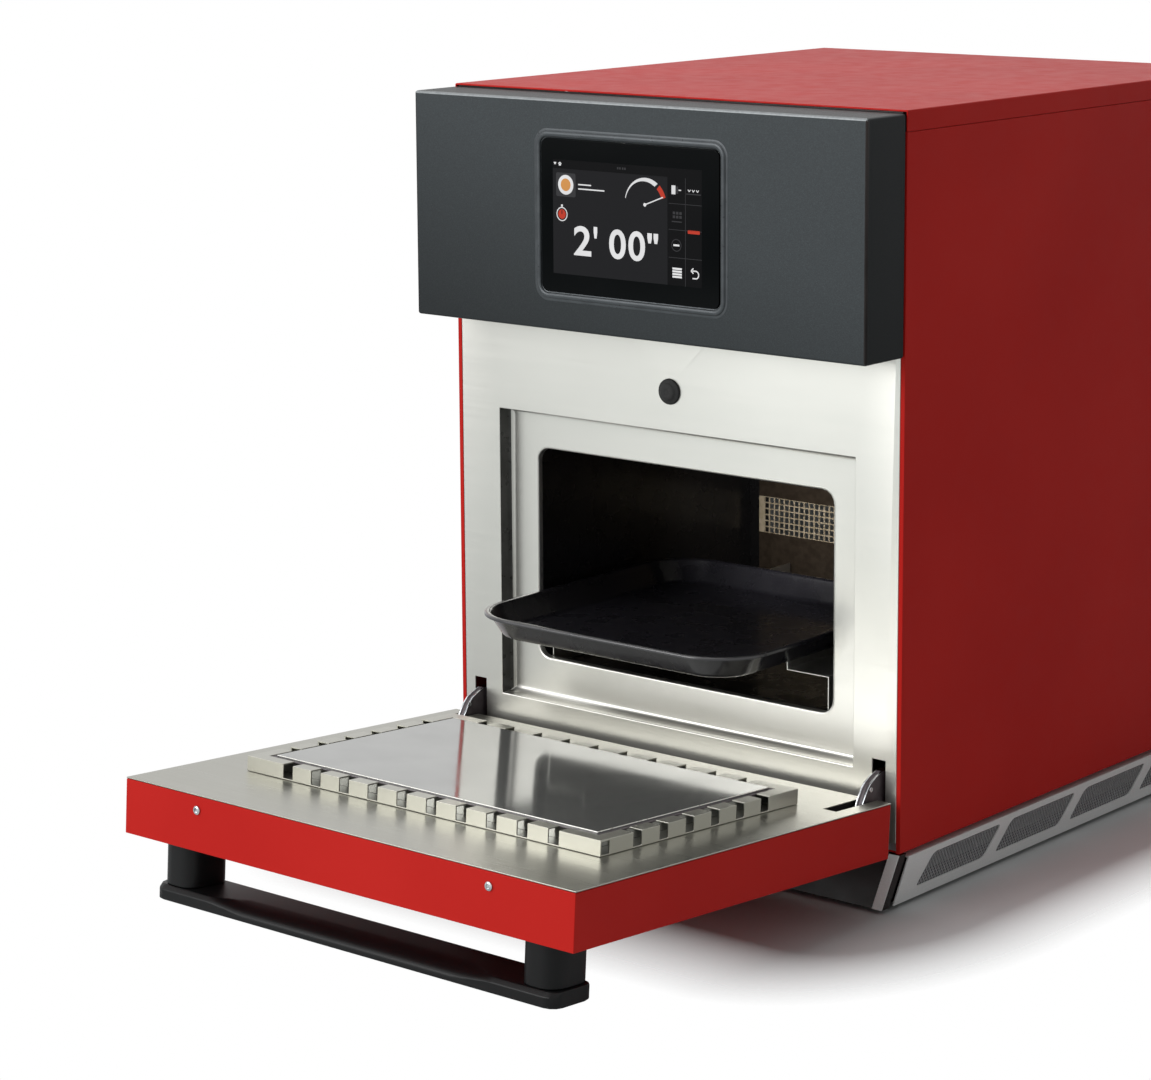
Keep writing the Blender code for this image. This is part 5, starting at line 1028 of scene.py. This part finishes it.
def area(tone, layer, x1, x2, z1, z2, corner=0.0):
    low = cabinet["low"]
    piece = block("area", (x1, layerY(layer), low + z1), (x2, layerY(layer - 1), low + z2))
    if corner:
        steps, deep = display["cornerSteps"], display["step"] / 2
        edit(piece)
        pick(piece, "EDGE", lambda edge: abs(edge.verts[0].co.y - edge.verts[1].co.y) > deep)
        bpy.ops.mesh.bevel(offset=corner, segments=steps, affect="EDGES", clamp_overlap=True)
        leave()
    lit[tone].append(piece)


def disc(tone, layer, x, z, radius):
    height = cabinet["low"] + z
    start, end = (x, layerY(layer), height), (x, layerY(layer - 1), height)
    lit[tone].append(rod("disc", start, end, radius, display["discSides"]))


# Part of a ring: a circle cut to an angle, whose inner edge is drawn in and moved, so that it may swell.
def arcBand(tone, layer, middle, radius, first, last, share, shift=(0, 0)):
    x, y, z = middle[0], layerY(layer), cabinet["low"] + middle[1]

    def outside(corner):
        return not first <= math.degrees(math.atan2(corner.co.z - z, corner.co.x - x)) % 360 <= last

    bpy.ops.object.select_all(action="DESELECT")
    bpy.ops.mesh.primitive_circle_add(
        vertices=display["ringSides"], radius=radius, location=(x, y, z), rotation=(math.radians(90), 0, 0),
    )
    band = settled(bpy.context.object, "band")
    edit(band)
    pick(band, "VERT", outside)
    bpy.ops.mesh.delete(type="VERT")
    bpy.ops.mesh.select_all(action="SELECT")
    bpy.ops.mesh.extrude_edges_move(TRANSFORM_OT_translate={"value": (0, 0, 0)})
    bpy.ops.transform.resize(value=(share, 1, share), center_override=(x, y, z))
    bpy.ops.transform.translate(value=(shift[0], 0, shift[1]))
    bpy.ops.mesh.select_all(action="SELECT")
    bpy.ops.mesh.extrude_region_move(TRANSFORM_OT_translate={"value": (0, display["step"], 0)})
    bpy.ops.mesh.select_all(action="SELECT")
    bpy.ops.mesh.normals_make_consistent(inside=False)
    leave()
    lit[tone].append(band)


def stroke(tone, layer, start, end, width):  # a straight bar between two points of the display
    x1, z1, x2, z2 = *start, *end
    along, across = math.hypot(x2 - x1, z2 - z1) / 2, width / 2
    bar = block("stroke", (-along, layerY(layer), -across), (along, layerY(layer - 1), across))
    turn = Matrix.Rotation(-math.atan2(z2 - z1, x2 - x1), 4, "Y")
    bar.data.transform(Matrix.Translation(((x1 + x2) / 2, 0, cabinet["low"] + (z1 + z2) / 2)) @ turn)
    lit[tone].append(bar)


def glyph(letter, x1, x2, z1, z2):  # one character of the timer, made at any size and fitted to its place
    bpy.ops.object.select_all(action="DESELECT")
    bpy.ops.object.text_add(location=(0, 0, 0), rotation=(math.radians(90), 0, 0))
    text = bpy.context.object
    text.data.body = letter
    text.data.offset = display["digitWeight"]
    text.data.extrude = 0.5
    text.data.resolution_u = display["digitCurve"]
    bpy.ops.object.convert(target="MESH")
    piece = settled(bpy.context.object, "glyph")
    edit(piece)
    bpy.ops.mesh.remove_doubles(threshold=weld)
    leave()
    low, high = extent(piece.bound_box)
    want = ((x1, x2), (layerY(2), layerY(1)), (cabinet["low"] + z1, cabinet["low"] + z2))
    scale = [(b - a) / (top - bottom) for (a, b), bottom, top in zip(want, low, high)]
    middle = Vector([(a + b) / 2 for a, b in want])
    shrink = Matrix.Diagonal((*scale, 1)) @ Matrix.Translation([-(a + b) / 2 for a, b in zip(low, high)])
    piece.data.transform(Matrix.Translation(middle) @ shrink)
    lit["white"].append(piece)


def makeDisplay():
    for make, rows in (
        (area, "areas"), (stroke, "strokes"), (disc, "discs"), (arcBand, "bands"), (area, "roundAreas"),
        (glyph, "digits"),
    ):
        for row in display[rows]:
            make(*row)
    for tone, parts in lit.items():
        piece = joined("display_" + tone, *parts)
        fitted(piece, "cabinet", "black_glass", finish=finishes["screen_" + tone])


makeDisplay()
print("display")

back = {
    "edge": 0.0003, "fittingEdge": 0.0004, "firstScrew": 10,
    "screws": ((0.2145, 0.075), (0.2145, 0.235), (0.2145, 0.395), (0.2145, 0.590), (0.0750, 0.6105)),
    "fan": (0.110, 0.497), "wire": 0.00085,
    "rings": (0.0555, 0.0430, 0.0305, 0.0180), "ringSteps": 64, "ringSides": 10,
    "spokes": 4, "spokeSides": 12, "spokeTurn": 45, "spokeReach": 0.006, "spokeLift": 2.6,
}


def makeBack():
    fineCopy("back_panel", back["edge"], 2)
    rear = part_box("back_panel")[1].y
    for number, (x, z) in enumerate(back["screws"]):
        for side in (-1, 1):
            screw(back["firstScrew"] + 2 * number + (side > 0), (side * x, rear, z), (0, 1, 0), "cabinet")
    for node in ("power_inlet", "exhaust_duct", "cooling_fan_frame", "cooling_fan_rotor"):
        fineCopy(node, back["fittingEdge"], 2)
    wire, (x, z) = back["wire"], back["fan"]
    parts = []
    for radius in back["rings"]:
        bpy.ops.object.select_all(action="DESELECT")
        bpy.ops.mesh.primitive_torus_add(
            major_radius=radius, minor_radius=wire,
            major_segments=back["ringSteps"], minor_segments=back["ringSides"],
            location=(x, rear + wire, z), rotation=(math.radians(90), 0, 0),
        )
        parts.append(settled(bpy.context.object, "ring"))
    reach, y = back["rings"][0] + back["spokeReach"], rear + back["spokeLift"] * wire
    for number in range(back["spokes"]):
        turn = math.radians(back["spokeTurn"] + 180 * number / back["spokes"])
        side, up = reach * math.cos(turn), reach * math.sin(turn)
        start, end = (x - side, y, z - up), (x + side, y, z + up)
        parts.append(rod("spoke", start, end, wire, back["spokeSides"]))
    cage = joined("fan_finger_guard", *parts)
    smoothed(cage, degrees=50)
    fitted(cage, "cabinet", "chrome")


makeBack()
print("back")
bpy.data.objects.remove(screwMaster)  # only its copies are pieces


# Camera, floor and light.
studio = {
    "cameraPlace": (1.6359, -2.1471, 0.8361),
    "cameraTurn": (79.751, 0.389, 39.874),
    "lens": 105.283, "sensor": 36,
    "shift": -0.1,
    "floorSize": 9.0, "floorDrop": 0.0005,
    # the far floor tone is a little cyan, painted against the red light that the oven bounces onto it
    "floorTone": (0.87, 0.92, 0.92),
    # painted shadow near the oven, also a little cyan against the red bounced light
    "floorShade": (0.60, 0.61, 0.61), "floorShadeReach": (0.02, 0.28),
    "shadowX": 0.20, "shadowY": (-0.06, 0.41), "shadowReach": (0.14, 0.27), "shadowSide": 1.65,
    "worldLight": 0.24, "worldSeen": 1.0,
    "lamps": (  # name, place, aim, size, watts, spread in degrees, seen in mirrors
        ("top_softbox", (-0.5, -0.6, 2.6), (0, 0, 0.3), (2.2, 2.2), 19.5, 180, True),
        ("front_softbox", (-1.3, -2.8, 1.5), (0, 0, 0.3), (1.8, 1.8), 60, 180, True),
        ("chamber_glow", (0.05, -0.02, 0.29), (-0.09, 0.238, 0.22), (0.04, 0.04), 0.08, 60, False),
    ),
}


def makeCamera():
    bpy.ops.object.camera_add(
        location=studio["cameraPlace"], rotation=[math.radians(angle) for angle in studio["cameraTurn"]],
    )
    camera = bpy.context.object
    camera.data.lens = studio["lens"]
    camera.data.shift_y = studio["shift"]
    camera.data.sensor_width = studio["sensor"]
    bpy.context.scene.camera = camera


def makeFloor():  # it fades out towards the white backdrop, and has painted shadow that darkens it near the oven
    bpy.ops.mesh.primitive_plane_add(size=studio["floorSize"], location=(0, 0, -studio["floorDrop"]))
    floor = bpy.context.object
    floor.name = "studio_floor"
    finish = Finish("studio_floor", Roughness=0.9, Specular_IOR_Level=0.1)
    outX = (finish.x.absolute() - studio["shadowX"]).atLeast(0.0) * studio["shadowSide"]
    low, high = studio["shadowY"]
    outY = ((finish.y - (low + high) / 2).absolute() - (high - low) / 2).atLeast(0.0)
    away = (outX * outX + outY * outY).power(0.5)
    fade = finish.between(away, *studio["shadowReach"])
    clearOfShade = finish.between(away, *studio["floorShadeReach"])
    # painted shadow: the base colour darkens towards the oven
    finish.set("Base Color", finish.blend(clearOfShade, (*studio["floorShade"], 1), (*studio["floorTone"], 1)))
    seen = finish.node("ShaderNodeLightPath", {}, {})
    tree = finish.tree
    clear = tree.nodes.new("ShaderNodeBsdfTransparent")
    mix = tree.nodes.new("ShaderNodeMixShader")
    tree.links.new((fade * seen).socket, mix.inputs[0])
    tree.links.new(finish.shader.outputs[0], mix.inputs[1])
    tree.links.new(clear.outputs[0], mix.inputs[2])
    tree.links.new(mix.outputs[0], tree.nodes["Material Output"].inputs[0])
    floor.data.materials.append(finish.material)


def makeWorld():  # a weak light on the oven, and a white backdrop for the camera and in reflections
    world = bpy.data.worlds.new("studio")
    bpy.context.scene.world = world
    world.use_nodes = True
    tree = world.node_tree
    light, backdrop = tree.nodes["Background"], tree.nodes.new("ShaderNodeBackground")
    for glow, strength in ((light, studio["worldLight"]), (backdrop, studio["worldSeen"])):
        glow.inputs["Color"].default_value = (1, 1, 1, 1)
        glow.inputs["Strength"].default_value = strength
    path = tree.nodes.new("ShaderNodeLightPath")
    seen = path.outputs["Is Camera Ray"]
    for ray in ("Is Transmission Ray", "Is Glossy Ray"):
        either = tree.nodes.new("ShaderNodeMath")
        either.operation = "MAXIMUM"
        tree.links.new(seen, either.inputs[0])
        tree.links.new(path.outputs[ray], either.inputs[1])
        seen = either.outputs[0]
    mix = tree.nodes.new("ShaderNodeMixShader")
    tree.links.new(seen, mix.inputs[0])
    tree.links.new(light.outputs[0], mix.inputs[1])
    tree.links.new(backdrop.outputs[0], mix.inputs[2])
    tree.links.new(mix.outputs[0], tree.nodes["World Output"].inputs[0])


def makeLamp(name, place, aim, size, power, spread, mirrored):
    bpy.ops.object.light_add(type="AREA", location=place)
    lamp = bpy.context.object
    lamp.name = name
    lamp.data.shape = "RECTANGLE"
    lamp.data.size, lamp.data.size_y = size
    lamp.data.energy = power
    lamp.data.spread = math.radians(spread)
    lamp.visible_glossy = mirrored
    lamp.rotation_euler = (Vector(aim) - Vector(place)).to_track_quat("-Z", "Y").to_euler()


makeCamera()
makeFloor()
makeWorld()
for row in studio["lamps"]:
    makeLamp(*row)
bpy.context.scene.view_settings.view_transform = "Standard"
print("studio ready")
